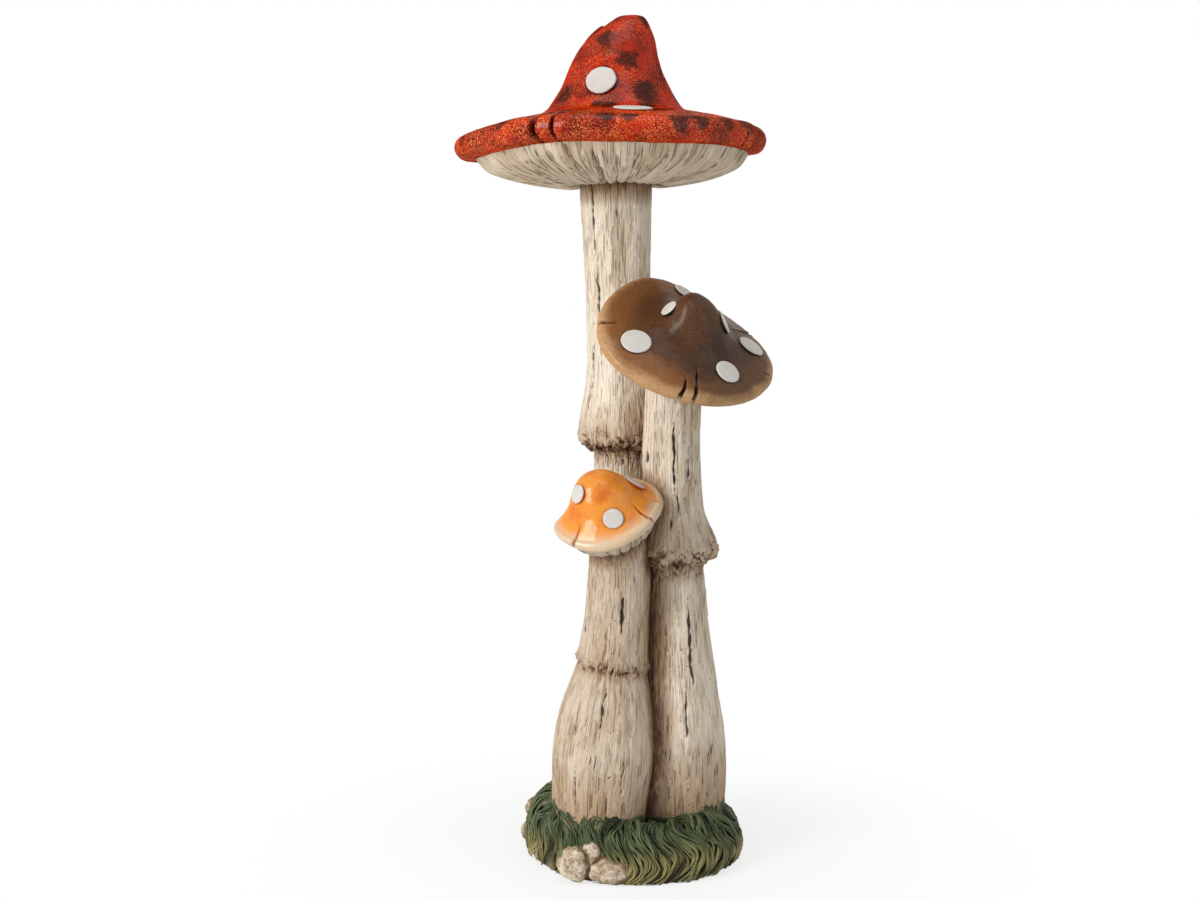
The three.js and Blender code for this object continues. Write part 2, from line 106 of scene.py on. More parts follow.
def stretched(tree, vector, across, along):
    # a place measured in steps of across and, along its third axis, of along
    one = over(tree, 1.0, across)
    return vectorCalc(tree, "MULTIPLY", vector, joined(tree, one, one, over(tree, 1.0, along)))


def cloud(tree, vector, seed, scale=1.0, detail=2.0, roughness=0.5):
    sockets = {"Vector": vector, "W": seed, "Scale": scale, "Detail": detail, "Roughness": roughness}
    return addNode(tree, "ShaderNodeTexNoise", sockets, noise_dimensions="4D").outputs[0]


def between(tree, value, low, high, toLow=0.0, toHigh=1.0):
    sockets = dict(enumerate((value, low, high, toLow, toHigh)))
    return addNode(tree, "ShaderNodeMapRange", sockets, interpolation_type="SMOOTHSTEP").outputs[0]


def brokenLines(tree, vector, width, length, thickness, share, seed, reach=2.5):
    # thin lines along the third axis, where a stretched cloud passes its middle value, broken by a second
    # cloud. A longer reach makes them straighter.
    crest = cloud(tree, stretched(tree, vector, width, times(tree, length, reach)), seed, detail=1.5)
    line = between(tree, calc(tree, "ABSOLUTE", minus(tree, crest, 0.5)), 0.0, thickness, 1.0, 0.0)
    cells = stretched(tree, vector, times(tree, width, 1.7), times(tree, length, 0.45))
    gaps = cloud(tree, cells, plus(tree, seed, 3.0))
    level = minus(tree, 0.72, times(tree, share, 0.4))
    return times(tree, line, between(tree, gaps, level, plus(tree, level, 0.07)))


def newGroup(name, kind, sockets, result, resultKind):
    # sockets gives each input's usual value, or its kind where it has none
    tree = bpy.data.node_groups.new(name, kind)
    for label, value in sockets.items():
        plain = {int: "Int", float: "Float"}.get(type(value))
        made = tree.interface.new_socket(label, in_out="INPUT", socket_type="NodeSocket" + (plain or value))
        if plain:
            made.default_value = value
    tree.interface.new_socket(result, in_out="OUTPUT", socket_type="NodeSocket" + resultKind)
    return tree, tree.nodes.new("NodeGroupInput").outputs, tree.nodes.new("NodeGroupOutput").inputs


def shaped(piece, tree, values):
    # runs a geometry tree on a piece and keeps the plain mesh
    modifier = piece.modifiers.new(tree.name, "NODES")
    modifier.node_group = tree
    for item in tree.interface.items_tree:
        if item.in_out == "INPUT" and item.name in values:
            modifier[item.identifier] = values[item.name]
    depsgraph = bpy.context.evaluated_depsgraph_get()
    mesh = bpy.data.meshes.new_from_object(piece.evaluated_get(depsgraph), depsgraph=depsgraph)
    piece.modifiers.clear()
    piece.data = mesh
    mesh.shade_smooth()
    return piece


# Shader groups that several paints share.

def grainGroup():
    tree, given, out = newGroup("grain", "ShaderNodeTree", {
        "Vector": "Vector", "Width": 0.002, "Length": 0.04, "Seed": 0.0}, "Streaks", "Float")
    place = stretched(tree, given["Vector"], given["Width"], given["Length"])
    tree.links.new(cloud(tree, place, given["Seed"], detail=3.0, roughness=0.6), out["Streaks"])
    return tree


def speckleGroup():
    tree, given, out = newGroup("speckle", "ShaderNodeTree", {
        "Vector": "Vector", "Size": 0.001, "Amount": 0.4, "Seed": 0.0}, "Mask", "Float")
    place = stretched(tree, given["Vector"], given["Size"], given["Size"])
    level = minus(tree, 0.78, times(tree, given["Amount"], 0.5))
    mask = between(tree, cloud(tree, place, given["Seed"], detail=1.0), level, plus(tree, level, 0.1))
    tree.links.new(mask, out["Mask"])
    return tree


def spongeGroup():
    tree, given, out = newGroup("sponge", "ShaderNodeTree", {
        "Vector": "Vector", "Cover": 0.5, "Size": 0.004, "Softness": 0.25, "Seed": 0.0}, "Mask", "Float")
    place = stretched(tree, given["Vector"], given["Size"], given["Size"])
    dabsAndShade = cloud(tree, place, given["Seed"], detail=4.0, roughness=0.65)
    spread = plus(tree, times(tree, minus(tree, dabsAndShade, 0.5), 1.6), 0.5)
    level = minus(tree, 1.0, given["Cover"])
    low, high = minus(tree, level, given["Softness"]), plus(tree, level, given["Softness"])
    anyCover = between(tree, given["Cover"], 0.0, 0.12)
    tree.links.new(times(tree, between(tree, spread, low, high), anyCover), out["Mask"])
    return tree


def veinsGroup():
    tree, given, out = newGroup("veins", "ShaderNodeTree", {
        "Vector": "Vector", "Width": 0.004, "Length": 0.05, "Thickness": 0.1, "Share": 0.5, "Seed": 0.0},
        "Lines", "Float")
    labels = ("Vector", "Width", "Length", "Thickness", "Share", "Seed")
    lines = brokenLines(tree, *(given[label] for label in labels))
    tree.links.new(lines, out["Lines"])
    return tree


grain = grainGroup()
veins = veinsGroup()
speckle = speckleGroup()
sponge = spongeGroup()


def use(tree, group, **sockets):
    return addNode(tree, "ShaderNodeGroup", sockets, node_tree=group).outputs[0]


def paint(name, roughness, specular=0.5, coat=0.0, coatRoughness=0.1, metallic=0.0):
    material = bpy.data.materials.new(name)
    material.use_nodes = True
    tree = material.node_tree
    shader = tree.nodes["Principled BSDF"]
    shader.inputs["Roughness"].default_value = roughness
    shader.inputs["Specular IOR Level"].default_value = specular
    shader.inputs["Coat Roughness"].default_value = coatRoughness
    shader.inputs["Metallic"].default_value = metallic
    if coat:
        # varnish is strongest where it faces the viewer, so that edges keep their colour in the white room
        turned = addNode(tree, "ShaderNodeLayerWeight", {"Blend": 0.5}).outputs["Facing"]
        tree.links.new(between(tree, turned, 0.25, 0.8, coat, 0.1 * coat), shader.inputs["Coat Weight"])
    return material, tree, addNode(tree, "ShaderNodeTexCoord").outputs["Object"]


def finishPaint(material, color, height, depth, strength):
    tree = material.node_tree
    shader = tree.nodes["Principled BSDF"]
    bump = addNode(tree, "ShaderNodeBump", {"Height": height, "Distance": depth, "Strength": strength})
    tree.links.new(color, shader.inputs["Base Color"])
    tree.links.new(bump.outputs[0], shader.inputs["Normal"])
    return material


def stored(tree, name, output="Fac"):
    return addNode(tree, "ShaderNodeAttribute", attribute_name=name).outputs[output]


def brushed(tree, color, tone, mask, amount=1.0):
    # a tone laid over a colour through a mask
    factor = mask if amount == 1.0 else times(tree, mask, amount)
    return addNode(tree, "ShaderNodeMix", {0: factor, 6: color, 7: tone}, data_type="RGBA").outputs[2]


def srgb(red, green, blue):
    return (*(round((c / 255) ** 2.2, 4) for c in (red, green, blue)), 1.0)


# Bark paint: pale cement with brown wash in its grain and cracks, a painted highlight on the raised grain,
# and painted shade under the hem, in the gills' pleats and where pieces meet. The gills have it too.
bark = {
    "light": srgb(250, 243, 230),
    "pale": srgb(243, 231, 212),
    "warm": srgb(222, 204, 178),
    "wash": srgb(154, 116, 76),
    "dark": srgb(88, 58, 36),
    "deep": srgb(44, 28, 18),
}
gillTones = {
    **bark,
    "light": srgb(232, 219, 200),
    "pale": srgb(220, 203, 180),
    "warm": srgb(196, 175, 148),
    "wash": srgb(114, 90, 62),
}


def barkPaint(name, tones, width, etching, seed):
    # width is how far apart the finest lines of the grain lie, and etching how dark they are
    material, tree, place = paint(name, 0.75, specular=0.15)
    straight = stored(tree, "straight", "Vector")
    drawn = vectorCalc(tree, "MULTIPLY", straight, (1.0, 1.0, 0.28))

    def alongBark(group, across, along, offset, **more):
        return use(tree, group, Vector=straight, Width=across * width, Length=along * width,
                   Seed=seed + offset, **more)

    patches = alongBark(grain, 12, 30, 0)
    streaks = alongBark(grain, 0.8, 24, 2)
    flakes = alongBark(grain, 2.6, 6, 8)
    lines = alongBark(veins, 5, 30, 4, Thickness=0.013, Share=0.3)
    hairs = alongBark(veins, 1.2, 16, 6, Thickness=0.045, Share=0.5 + 0.3 * etching)
    hairs = times(tree, hairs, between(tree, patches, 0.36, 0.6, 0.35, 1.0))
    pits = use(tree, speckle, Vector=place, Size=0.0018, Amount=0.2, Seed=seed + 3)
    low, stainedAndShaded, crack = (stored(tree, label) for label in ("valley", "stainAndShade", "crack"))
    stainAndShade = use(tree, sponge, Vector=drawn, Cover=stainedAndShaded, Size=0.006, Softness=0.5, Seed=seed)
    grimeAndShade = use(tree, sponge, Vector=drawn, Cover=stored(tree, "grimeAndShade"), Size=0.004, Softness=0.35, Seed=seed)
    etched = brushed(tree, tones["wash"], tones["dark"], stainAndShade)
    darkness = plus(tree, times(tree, stainAndShade, 0.3), etching)
    color = brushed(tree, tones["pale"], tones["warm"], between(tree, patches, 0.4, 0.68))
    # painted highlight: the raised grain is lighter
    color = brushed(tree, color, tones["light"], between(tree, low, -0.9, -0.2, 0.7, 0.0))
    color = brushed(tree, color, tones["wash"], between(tree, low, 0.25, 1.0, 0.0, 0.3))
    color = brushed(tree, color, tones["wash"], between(tree, streaks, 0.5, 0.72, 0.0, 0.22))
    # brown wash, partly painted shade low down and near other pieces
    color = brushed(tree, color, tones["wash"], between(tree, stainedAndShaded, 0.0, 1.0, 0.0, 0.5))
    color = brushed(tree, color, tones["wash"], stainAndShade, 0.5)
    color = brushed(tree, color, etched, times(tree, hairs, darkness))
    color = brushed(tree, color, tones["dark"], lines, 0.8)
    color = brushed(tree, color, tones["dark"], pits, 0.6)
    # painted shade: under the hem, near other pieces and in the gills' pleat valleys
    color = brushed(tree, color, tones["dark"], grimeAndShade, 0.85)
    color = brushed(tree, color, tones["dark"], between(tree, crack, 0.15, 0.6, 0.0, 0.75))
    color = brushed(tree, color, tones["deep"], between(tree, crack, 0.6, 1.0, 0.0, 0.9))
    color = brushed(tree, color, tones["deep"], between(tree, stored(tree, "split"), 0.0, 0.6, 0.0, 0.88))
    height = minus(tree, flakes, times(tree, streaks, 0.7))
    for marks, depth in ((lines, 1.0), (hairs, 0.5), (pits, 0.5)):
        height = minus(tree, height, times(tree, marks, depth))
    return finishPaint(material, color, height, 0.0018, 1.0)


# Cap paints. On a cap, smudge is where dark paint was sponged on, and where a dark ring round each dot is
# partly painted shade; toRim runs from 0 at the peak to 1 at the rim.
redTones = {
    "base": srgb(188, 36, 8),
    "deep": srgb(108, 14, 4),
    "speck": srgb(248, 134, 70),
    "dab": srgb(48, 20, 14),
    "cut": srgb(62, 6, 6),
}
brownTones = {
    "middle": srgb(84, 53, 32),
    "grey": srgb(78, 56, 40),
    "warm": srgb(134, 86, 48),
    "rim": srgb(194, 152, 108),
    "cut": srgb(30, 18, 11),
}
orangeTones = {
    "top": srgb(234, 146, 52),
    "deep": srgb(206, 90, 16),
    "rim": srgb(216, 194, 162),
    "cut": srgb(168, 72, 16),
}


def dabbedAndShaded(tree, place, size, softness, seed):
    return use(tree, sponge, Vector=place, Cover=stored(tree, "smudgeAndShade"), Size=size, Softness=softness,
               Seed=seed)


def redPaint(tones):
    material, tree, place = paint("redVarnish", 0.5, specular=0.0, coat=0.32, coatRoughness=0.1)
    broad = cloud(tree, place, 3.0, scale=34.0, detail=4.0, roughness=0.6)
    specks = use(tree, speckle, Vector=place, Size=0.0013, Amount=0.52, Seed=1.0)
    flecks = use(tree, speckle, Vector=place, Size=0.0023, Amount=0.42, Seed=7.0)
    dabsAndShade = dabbedAndShaded(tree, place, 0.009, 0.26, 4.0)
    onBrim = between(tree, stored(tree, "toRim"), 0.6, 0.9)
    speckWearAndBrimLight = between(tree, cloud(tree, place, 12.0, scale=48.0), 0.34, 0.6, 0.4, 1.0)
    # partly painted highlight: the brim gets more light specks
    speckWearAndBrimLight = times(tree, speckWearAndBrimLight, between(tree, onBrim, 0.0, 1.0, 0.72, 1.5))
    speckWearAndBrimLight = times(tree, speckWearAndBrimLight, between(tree, dabsAndShade, 0.0, 1.0, 1.0, 0.3))
    color = brushed(tree, tones["base"], tones["deep"], between(tree, broad, 0.36, 0.64))
    color = brushed(tree, color, tones["dab"], dabsAndShade, 0.92)
    color = brushed(tree, color, tones["speck"], times(tree, specks, speckWearAndBrimLight), 0.56)
    color = brushed(tree, color, tones["speck"], times(tree, flecks, speckWearAndBrimLight), 0.32)
    color = brushed(tree, color, tones["cut"], stored(tree, "cut"))
    return finishPaint(material, color, cloud(tree, place, 2.0, scale=420.0), 0.0004, 0.5)


def brownPaint(tones):
    material, tree, place = paint("brownVarnish", 0.5, specular=0.05, coat=0.3, coatRoughness=0.24)
    broad = cloud(tree, place, 5.0, scale=34.0, detail=5.0, roughness=0.65)
    mottle = use(tree, speckle, Vector=place, Size=0.0015, Amount=0.5, Seed=2.0)
    dust = use(tree, speckle, Vector=place, Size=0.0022, Amount=0.4, Seed=5.0)
    drift = times(tree, minus(tree, broad, 0.5), 0.22)
    toRim = plus(tree, stored(tree, "toRim"), drift)
    shade = between(tree, plus(tree, stored(tree, "rightward"), drift), 0.0, 0.6, 0.0, 0.8)
    color = brushed(tree, tones["middle"], tones["warm"], between(tree, toRim, 0.5, 0.92))
    color = brushed(tree, color, tones["grey"], shade)
    color = brushed(tree, color, tones["rim"], between(tree, toRim, 0.88, 1.03, 0.0, 0.95))
    color = brushed(tree, color, tones["rim"], mottle, 0.08)
    color = brushed(tree, color, tones["cut"], dust, 0.3)
    color = brushed(tree, color, tones["cut"], dabbedAndShaded(tree, place, 0.009, 0.4, 9.0), 0.5)
    color = brushed(tree, color, tones["cut"], stored(tree, "cut"))
    return finishPaint(material, color, cloud(tree, place, 2.0, scale=300.0, detail=3.0), 0.0004, 0.5)


def orangePaint(tones):
    material, tree, place = paint("orangeVarnish", 0.45, specular=0.05, coat=0.62, coatRoughness=0.13)
    broad = cloud(tree, place, 6.0, scale=55.0, detail=4.0, roughness=0.6)
    streaks = use(tree, grain, Vector=place, Width=0.0014, Length=0.0014, Seed=6.0)
    toRim = plus(tree, stored(tree, "toRim"), times(tree, minus(tree, broad, 0.5), 0.3))
    color = brushed(tree, tones["top"], tones["deep"], between(tree, broad, 0.44, 0.72, 0.0, 0.8))
    color = brushed(tree, color, tones["rim"], between(tree, toRim, 0.76, 0.98, 0.0, 0.95))
    color = brushed(tree, color, tones["deep"], between(tree, streaks, 0.5, 0.75, 0.0, 0.25))
    color = brushed(tree, color, tones["cut"], dabbedAndShaded(tree, place, 0.005, 0.4, 9.0), 0.6)
    color = brushed(tree, color, tones["cut"], stored(tree, "cut"))
    return finishPaint(material, color, cloud(tree, place, 2.0, scale=360.0), 0.0004, 0.5)


def dotPaint(cap, face, around):
    # a dot's face is white and its side has the colour of the cap around it
    material, tree, place = paint(cap + "Dots", 0.55, specular=0.2)
    dirt = use(tree, sponge, Vector=place, Cover=0.34, Size=0.011, Softness=0.3, Seed=3.0)
    color = brushed(tree, face, srgb(192, 186, 177), dirt, 0.5)
    color = brushed(tree, color, around, stored(tree, "side"))
    return finishPaint(material, color, cloud(tree, place, 1.0, scale=500.0, detail=3.0), 0.0003, 0.6)


# Stones, grass and dowels.
stoneTones = {
    "light": srgb(234, 218, 194),
    "warm": srgb(194, 172, 142),
    "speck": srgb(100, 74, 48),
    "grimeAndShade": srgb(104, 74, 48),
}
grassTones = {
    "dark": srgb(50, 62, 38),
    "light": srgb(106, 116, 80),
    "dry": srgb(166, 152, 98),
    "streak": srgb(34, 40, 22),
    # gap: the tone of the painted shade between clumps
    "gap": srgb(20, 25, 13),
}


def pebblePaint(tones):
    material, tree, place = paint("pebblePaint", 0.75, specular=0.2)
    broad = cloud(tree, place, 2.0, scale=70.0, detail=3.0)
    specks = use(tree, speckle, Vector=place, Size=0.0022, Amount=0.4, Seed=5.0)
    # grime sponged on, and painted shade in the crevices
    dabsAndShade = use(tree, sponge, Vector=place, Cover=stored(tree, "grimeAndShade"), Size=0.007, Softness=0.25, Seed=6.0)
    color = brushed(tree, tones["light"], tones["warm"], between(tree, broad, 0.4, 0.62))
    color = brushed(tree, color, tones["speck"], specks, 0.65)
    color = brushed(tree, color, tones["grimeAndShade"], dabsAndShade, 0.85)
    pores = cloud(tree, place, 4.0, scale=420.0, detail=4.0, roughness=0.7)
    return finishPaint(material, color, pores, 0.0014, 0.9)


def grassPaint(tones):
    material, tree, place = paint("grassPaint", 0.5, specular=0.25)
    height = partsOf(tree, place)[2]
    broad = cloud(tree, place, 8.0, scale=26.0, detail=3.0)
    streaks = use(tree, grain, Vector=place, Width=0.004, Length=0.004, Seed=3.0)
    low = times(tree, between(tree, height, 0.008, 0.04, 1.0, 0.0), between(tree, broad, 0.38, 0.56))
    color = brushed(tree, tones["dark"], tones["light"], stored(tree, "tint"))
    color = brushed(tree, color, tones["dry"], low, 0.85)
    color = brushed(tree, color, tones["streak"], between(tree, streaks, 0.5, 0.75, 0.0, 0.5))
    # painted shade: strands in the valleys between clumps are darkened almost to black
    color = brushed(tree, color, tones["gap"], between(tree, stored(tree, "ridge"), 0.0, 1.0, 0.85, 0.0))
    return finishPaint(material, color, cloud(tree, place, 1.0, scale=700.0, detail=3.0), 0.0005, 0.6)


def steelPaint():
    material, tree, place = paint("dowelSteel", 0.38, metallic=1.0)
    lines = use(tree, grain, Vector=place, Width=0.0006, Length=0.03, Seed=1.0)
    color = brushed(tree, srgb(150, 150, 148), srgb(186, 186, 184), lines)
    return finishPaint(material, color, lines, 0.0002, 0.5)


paints = {
    "stem": barkPaint("barkPaint", bark, 0.0021, 0.52, 1.0),
    "gill": barkPaint("gillPaint", gillTones, 0.0017, 0.9, 11.0),
    "red": redPaint(redTones),
    "brown": brownPaint(brownTones),
    "orange": orangePaint(orangeTones),
    "redDots": dotPaint("red", srgb(204, 200, 194), redTones["deep"]),
    "brownDots": dotPaint("brown", srgb(214, 210, 203), brownTones["cut"]),
    "orangeDots": dotPaint("orange", srgb(210, 206, 200), orangeTones["cut"]),
    "pebble": pebblePaint(stoneTones),
    "grass": grassPaint(grassTones),
    "steel": steelPaint(),
}
print("paints mixed")


# Geometry trees: what follows a surface or repeats.

def attribute(tree, name, kind="FLOAT"):
    node = addNode(tree, "GeometryNodeInputNamedAttribute", {"Name": name}, data_type=kind)
    return node.outputs["Attribute"]


def noted(tree, geometry, name, value, domain="POINT"):
    sockets = {"Geometry": geometry, "Name": name, "Value": value}
    node = addNode(tree, "GeometryNodeStoreNamedAttribute", sockets, data_type="FLOAT", domain=domain)
    return node.outputs[0]


def spotNow(tree):
    return addNode(tree, "GeometryNodeInputPosition").outputs[0]


def normalNow(tree):
    return addNode(tree, "GeometryNodeInputNormal").outputs[0]


def raised(tree, geometry, lift):
    offset = scaled(tree, normalNow(tree), lift)
    return addNode(tree, "GeometryNodeSetPosition", {"Geometry": geometry, "Offset": offset}).outputs[0]


def finishTree(tree, geometry, given, out):
    real = addNode(tree, "GeometryNodeRealizeInstances", {"Geometry": geometry}).outputs[0]
    dressed = addNode(tree, "GeometryNodeSetMaterial", {"Geometry": real, "Material": given["Material"]})
    tree.links.new(dressed.outputs[0], out["Geometry"])
    return tree


def geometryTree(name, sizes):
    sockets = {"Geometry": "Geometry", "Material": "Material", **sizes}
    return newGroup(name, "GeometryNodeTree", sockets, "Geometry", "Geometry")


def reliefTree():
    # bark: grain, broken cracks and flaked plates along the third axis of straight, and lumps where it is
    # ragged
    tree, given, out = geometryTree("barkRelief", {
        "Grain Width": 0.003, "Grain Length": 0.05, "Grain Depth": 0.0006,
        "Crack Width": 0.004, "Crack Length": 0.08, "Crack Depth": 0.0015, "Crack Share": 0.5,
        "Plate Depth": 0.0006, "Lump Height": 0.0015, "Seed": 0.0})
    straight = attribute(tree, "straight", "FLOAT_VECTOR")
    rough, ragged = attribute(tree, "rough"), attribute(tree, "ragged")

    def patches(across, along, offset, **more):
        place = stretched(tree, straight, across, along)
        return cloud(tree, place, plus(tree, given["Seed"], offset), **more)

    grains = patches(given["Grain Width"], given["Grain Length"], 0.0, detail=3.0, roughness=0.6)
    plates = patches(0.022, 0.07, 20.0)
    lumps = patches(0.007, 0.008, 30.0, roughness=0.6)
    cracks = brokenLines(tree, straight, given["Crack Width"], given["Crack Length"], 0.022,
                         given["Crack Share"], plus(tree, given["Seed"], 5.0))
    curls = brokenLines(tree, straight, 0.011, 0.011, 0.045, 1.0, plus(tree, given["Seed"], 40.0), reach=1.0)
    curls = times(tree, curls, ragged)
    steps = times(tree, calc(tree, "SNAP", minus(tree, plates, 0.5), 0.1), 6.0)
    lift = times(tree, minus(tree, grains, 0.5), times(tree, given["Grain Depth"], 2.0))
    lift = plus(tree, lift, times(tree, steps, given["Plate Depth"]))
    lift = times(tree, minus(tree, lift, times(tree, cracks, given["Crack Depth"])), rough)
    bulge = times(tree, minus(tree, lumps, 0.5), times(tree, given["Lump Height"], 4.0))
    bulge = minus(tree, bulge, times(tree, curls, given["Lump Height"]))
    lift = plus(tree, lift, times(tree, bulge, ragged))
    pits = times(tree, between(tree, lumps, 0.32, 0.46, 1.0, 0.0), ragged)
    marks = calc(tree, "MAXIMUM", times(tree, cracks, rough), times(tree, pits, 0.8))
    kept = noted(tree, given["Geometry"], "crack", calc(tree, "MAXIMUM", marks, curls))
    kept = noted(tree, kept, "valley", times(tree, minus(tree, 0.5, grains), 4.0))
    return finishTree(tree, raised(tree, kept, lift), given, out)


def gillTree():
    # pleats that run out from the hub: rounded ridges with sharp valleys between, uneven round the plate.
    # On a plate, bearing is the way out from its hub and fold is how deep the pleats are there.
    tree, given, out = geometryTree("gillPleats", {
        "Pleats": 36.0, "Depth": 0.004, "Uneven": 0.8, "Seed": 0.0})
    fold = attribute(tree, "fold")
    ring = vectorCalc(tree, "MULTIPLY", attribute(tree, "straight", "FLOAT_VECTOR"), (1.0, 1.0, 0.35))
    drift = minus(tree, cloud(tree, ring, given["Seed"], scale=55.0, detail=1.0), 0.5)
    turn = plus(tree, times(tree, attribute(tree, "bearing"), times(tree, given["Pleats"], 0.5)),
                times(tree, drift, times(tree, given["Uneven"], 5.0)))
    valley = calc(tree, "POWER", calc(tree, "ABSOLUTE", calc(tree, "SINE", turn)), 0.55)
    broad = cloud(tree, ring, plus(tree, given["Seed"], 4.0), scale=40.0, detail=1.0)
    depth = times(tree, between(tree, broad, 0.3, 0.7, 0.45, 1.2), given["Depth"])
    lift = times(tree, times(tree, minus(tree, valley, 0.7), depth), fold)
    # painted shade in the valleys between the pleats
    valleyShade = times(tree, between(tree, valley, 0.08, 0.48, 0.8, 0.0), fold)
    kept = noted(tree, given["Geometry"], "grimeAndShade", valleyShade)
    return finishTree(tree, raised(tree, kept, lift), given, out)


def lumpsTree():
    # the slight unevenness of a hand-modelled surface
    tree, given, out = geometryTree("handLumps", {
        "Lump Size": 0.03, "Lump Height": 0.001, "Dent Size": 0.006, "Dent Depth": 0.0002, "Seed": 0.0})

    def swelling(size, height, seed, detail):
        swell = cloud(tree, stretched(tree, spotNow(tree), size, size), seed, detail=detail)
        return times(tree, minus(tree, swell, 0.5), times(tree, height, 2.0))

    lumps = swelling(given["Lump Size"], given["Lump Height"], given["Seed"], 1.0)
    dents = swelling(given["Dent Size"], given["Dent Depth"], plus(tree, given["Seed"], 3.0), 2.0)
    return finishTree(tree, raised(tree, given["Geometry"], plus(tree, lumps, dents)), given, out)


def strandTree():
    # tapered grass strands, laid out flat and wrapped on to the mound's skin by its map
    tree, given, out = geometryTree("grassStrands", {
        "Columns": 120, "Rows": 10, "Girth": 0.64, "Rise": 0.12, "Length": 0.04, "Width": 0.0014,
        "Wave": 0.006, "Clump Width": 0.014, "Clump Length": 0.06, "Clump Height": 0.003, "Seed": 0})

    def chance(low, high, offset):
        sockets = {"Min": low, "Max": high, "Seed": plus(tree, given["Seed"], float(offset))}
        return addNode(tree, "FunctionNodeRandomValue", sockets, data_type="FLOAT").outputs[1]

    index = addNode(tree, "GeometryNodeInputIndex").outputs[0]
    column = calc(tree, "MODULO", index, given["Columns"])
    row = calc(tree, "FLOOR", over(tree, plus(tree, index, 0.5), given["Columns"]))
    across = over(tree, plus(tree, column, chance(0.0, 1.0, 1)), given["Columns"])
    across = times(tree, across, given["Girth"])
    up = over(tree, plus(tree, row, chance(-1.1, 0.4, 2)), given["Rows"])
    up = times(tree, up, given["Rise"])
    points = addNode(tree, "GeometryNodePoints", {
        "Count": times(tree, given["Columns"], given["Rows"]),
        "Position": joined(tree, across, up, chance(-0.0004, 0.0014, 3))})

    # one strand, a metre long, that swells and then tapers to its tip
    line = addNode(tree, "GeometryNodeCurvePrimitiveLine", {"Start": (0.0, 0.0, 0.0), "End": (0.0, 1.0, 0.0)})
    line = addNode(tree, "GeometryNodeResampleCurve", {"Curve": line.outputs[0], "Count": 9})
    along = addNode(tree, "GeometryNodeSplineParameter").outputs[0]
    taper = times(tree, calc(tree, "POWER", plus(tree, along, 0.02), 0.45),
                  calc(tree, "POWER", minus(tree, 1.02, along), 0.7))
    line = addNode(tree, "GeometryNodeSetCurveRadius", {
        "Curve": line.outputs[0], "Radius": times(tree, taper, 1.6)})
    ring = addNode(tree, "GeometryNodeCurvePrimitiveCircle", {"Resolution": 5, "Radius": 1.0})
    blade = addNode(tree, "GeometryNodeCurveToMesh", {
        "Curve": line.outputs[0], "Profile Curve": ring.outputs[0],
        "Scale": addNode(tree, "GeometryNodeInputRadius").outputs[0], "Fill Caps": True})

    width = times(tree, given["Width"], chance(0.65, 1.35, 4))
    lean = joined(tree, chance(0.0, 0.045, 8), 0.0, chance(-0.28, 0.28, 6))
    strands = addNode(tree, "GeometryNodeInstanceOnPoints", {
        "Points": points.outputs[0], "Instance": blade.outputs[0],
        "Rotation": addNode(tree, "FunctionNodeEulerToRotation", {0: lean}).outputs[0],
        "Scale": joined(tree, width, times(tree, given["Length"], chance(0.6, 1.3, 5)), width)})
    tinted = noted(tree, strands.outputs[0], "tint", chance(0.0, 1.0, 7), "INSTANCE")
    real = addNode(tree, "GeometryNodeRealizeInstances", {"Geometry": tinted}).outputs[0]

    # clumps swell and sway together, and meet themselves again all the way round
    x, y, z = partsOf(tree, spotNow(tree))[:3]
    seamless = times(tree, over(tree, x, given["Girth"]), 2 * pi)

    def roundMound(radius, height):
        return joined(tree, times(tree, calc(tree, "COSINE", seamless), radius),
                      times(tree, calc(tree, "SINE", seamless), radius), height)

    swirl = minus(tree, cloud(tree, roundMound(4.0, times(tree, y, 16.0)), 5.0, scale=1.1, detail=1.0), 0.5)
    reach = over(tree, over(tree, given["Girth"], 2 * pi), given["Clump Width"])
    clump = cloud(tree, roundMound(reach, over(tree, y, given["Clump Length"])), 9.0, detail=1.0)
    swell = times(tree, minus(tree, clump, 0.4), times(tree, given["Clump Height"], 3.0))
    swell = calc(tree, "MAXIMUM", swell, -0.0004)
    phase = plus(tree, times(tree, y, 95.0), times(tree, swirl, 9.0))
    drift = times(tree, calc(tree, "SINE", phase), given["Wave"])
    shifted = plus(tree, x, plus(tree, drift, times(tree, swirl, 0.03)))

    # the skin's map turns the flat place into a place on the mound
    u = calc(tree, "FRACT", over(tree, shifted, given["Girth"]))
    v = calc(tree, "MINIMUM", calc(tree, "MAXIMUM", over(tree, y, given["Rise"]), 0.004), 0.996)
    onMap = joined(tree, u, v, 0.0)
    skinMap = attribute(tree, "skin", "FLOAT_VECTOR")

    def onSkin(value):
        sockets = {"Mesh": given["Geometry"], "Value": value, "UV Map": skinMap, "Sample UV": onMap}
        node = addNode(tree, "GeometryNodeSampleUVSurface", sockets, data_type="FLOAT_VECTOR")
        return node.outputs["Value"]

    facing = vectorCalc(tree, "NORMALIZE", onSkin(normalNow(tree)))
    place = vectorCalc(tree, "ADD", onSkin(spotNow(tree)), scaled(tree, facing, plus(tree, z, swell)))
    # ridge is 0 in the valleys between clumps, where the grass paint lays painted shade
    ridged = noted(tree, real, "ridge", between(tree, clump, 0.34, 0.5))
    wrapped = addNode(tree, "GeometryNodeSetPosition", {"Geometry": ridged, "Position": place})
    return finishTree(tree, wrapped.outputs[0], given, out)


relief = reliefTree()
pleats = gillTree()
handLumps = lumpsTree()
grassStrands = strandTree()


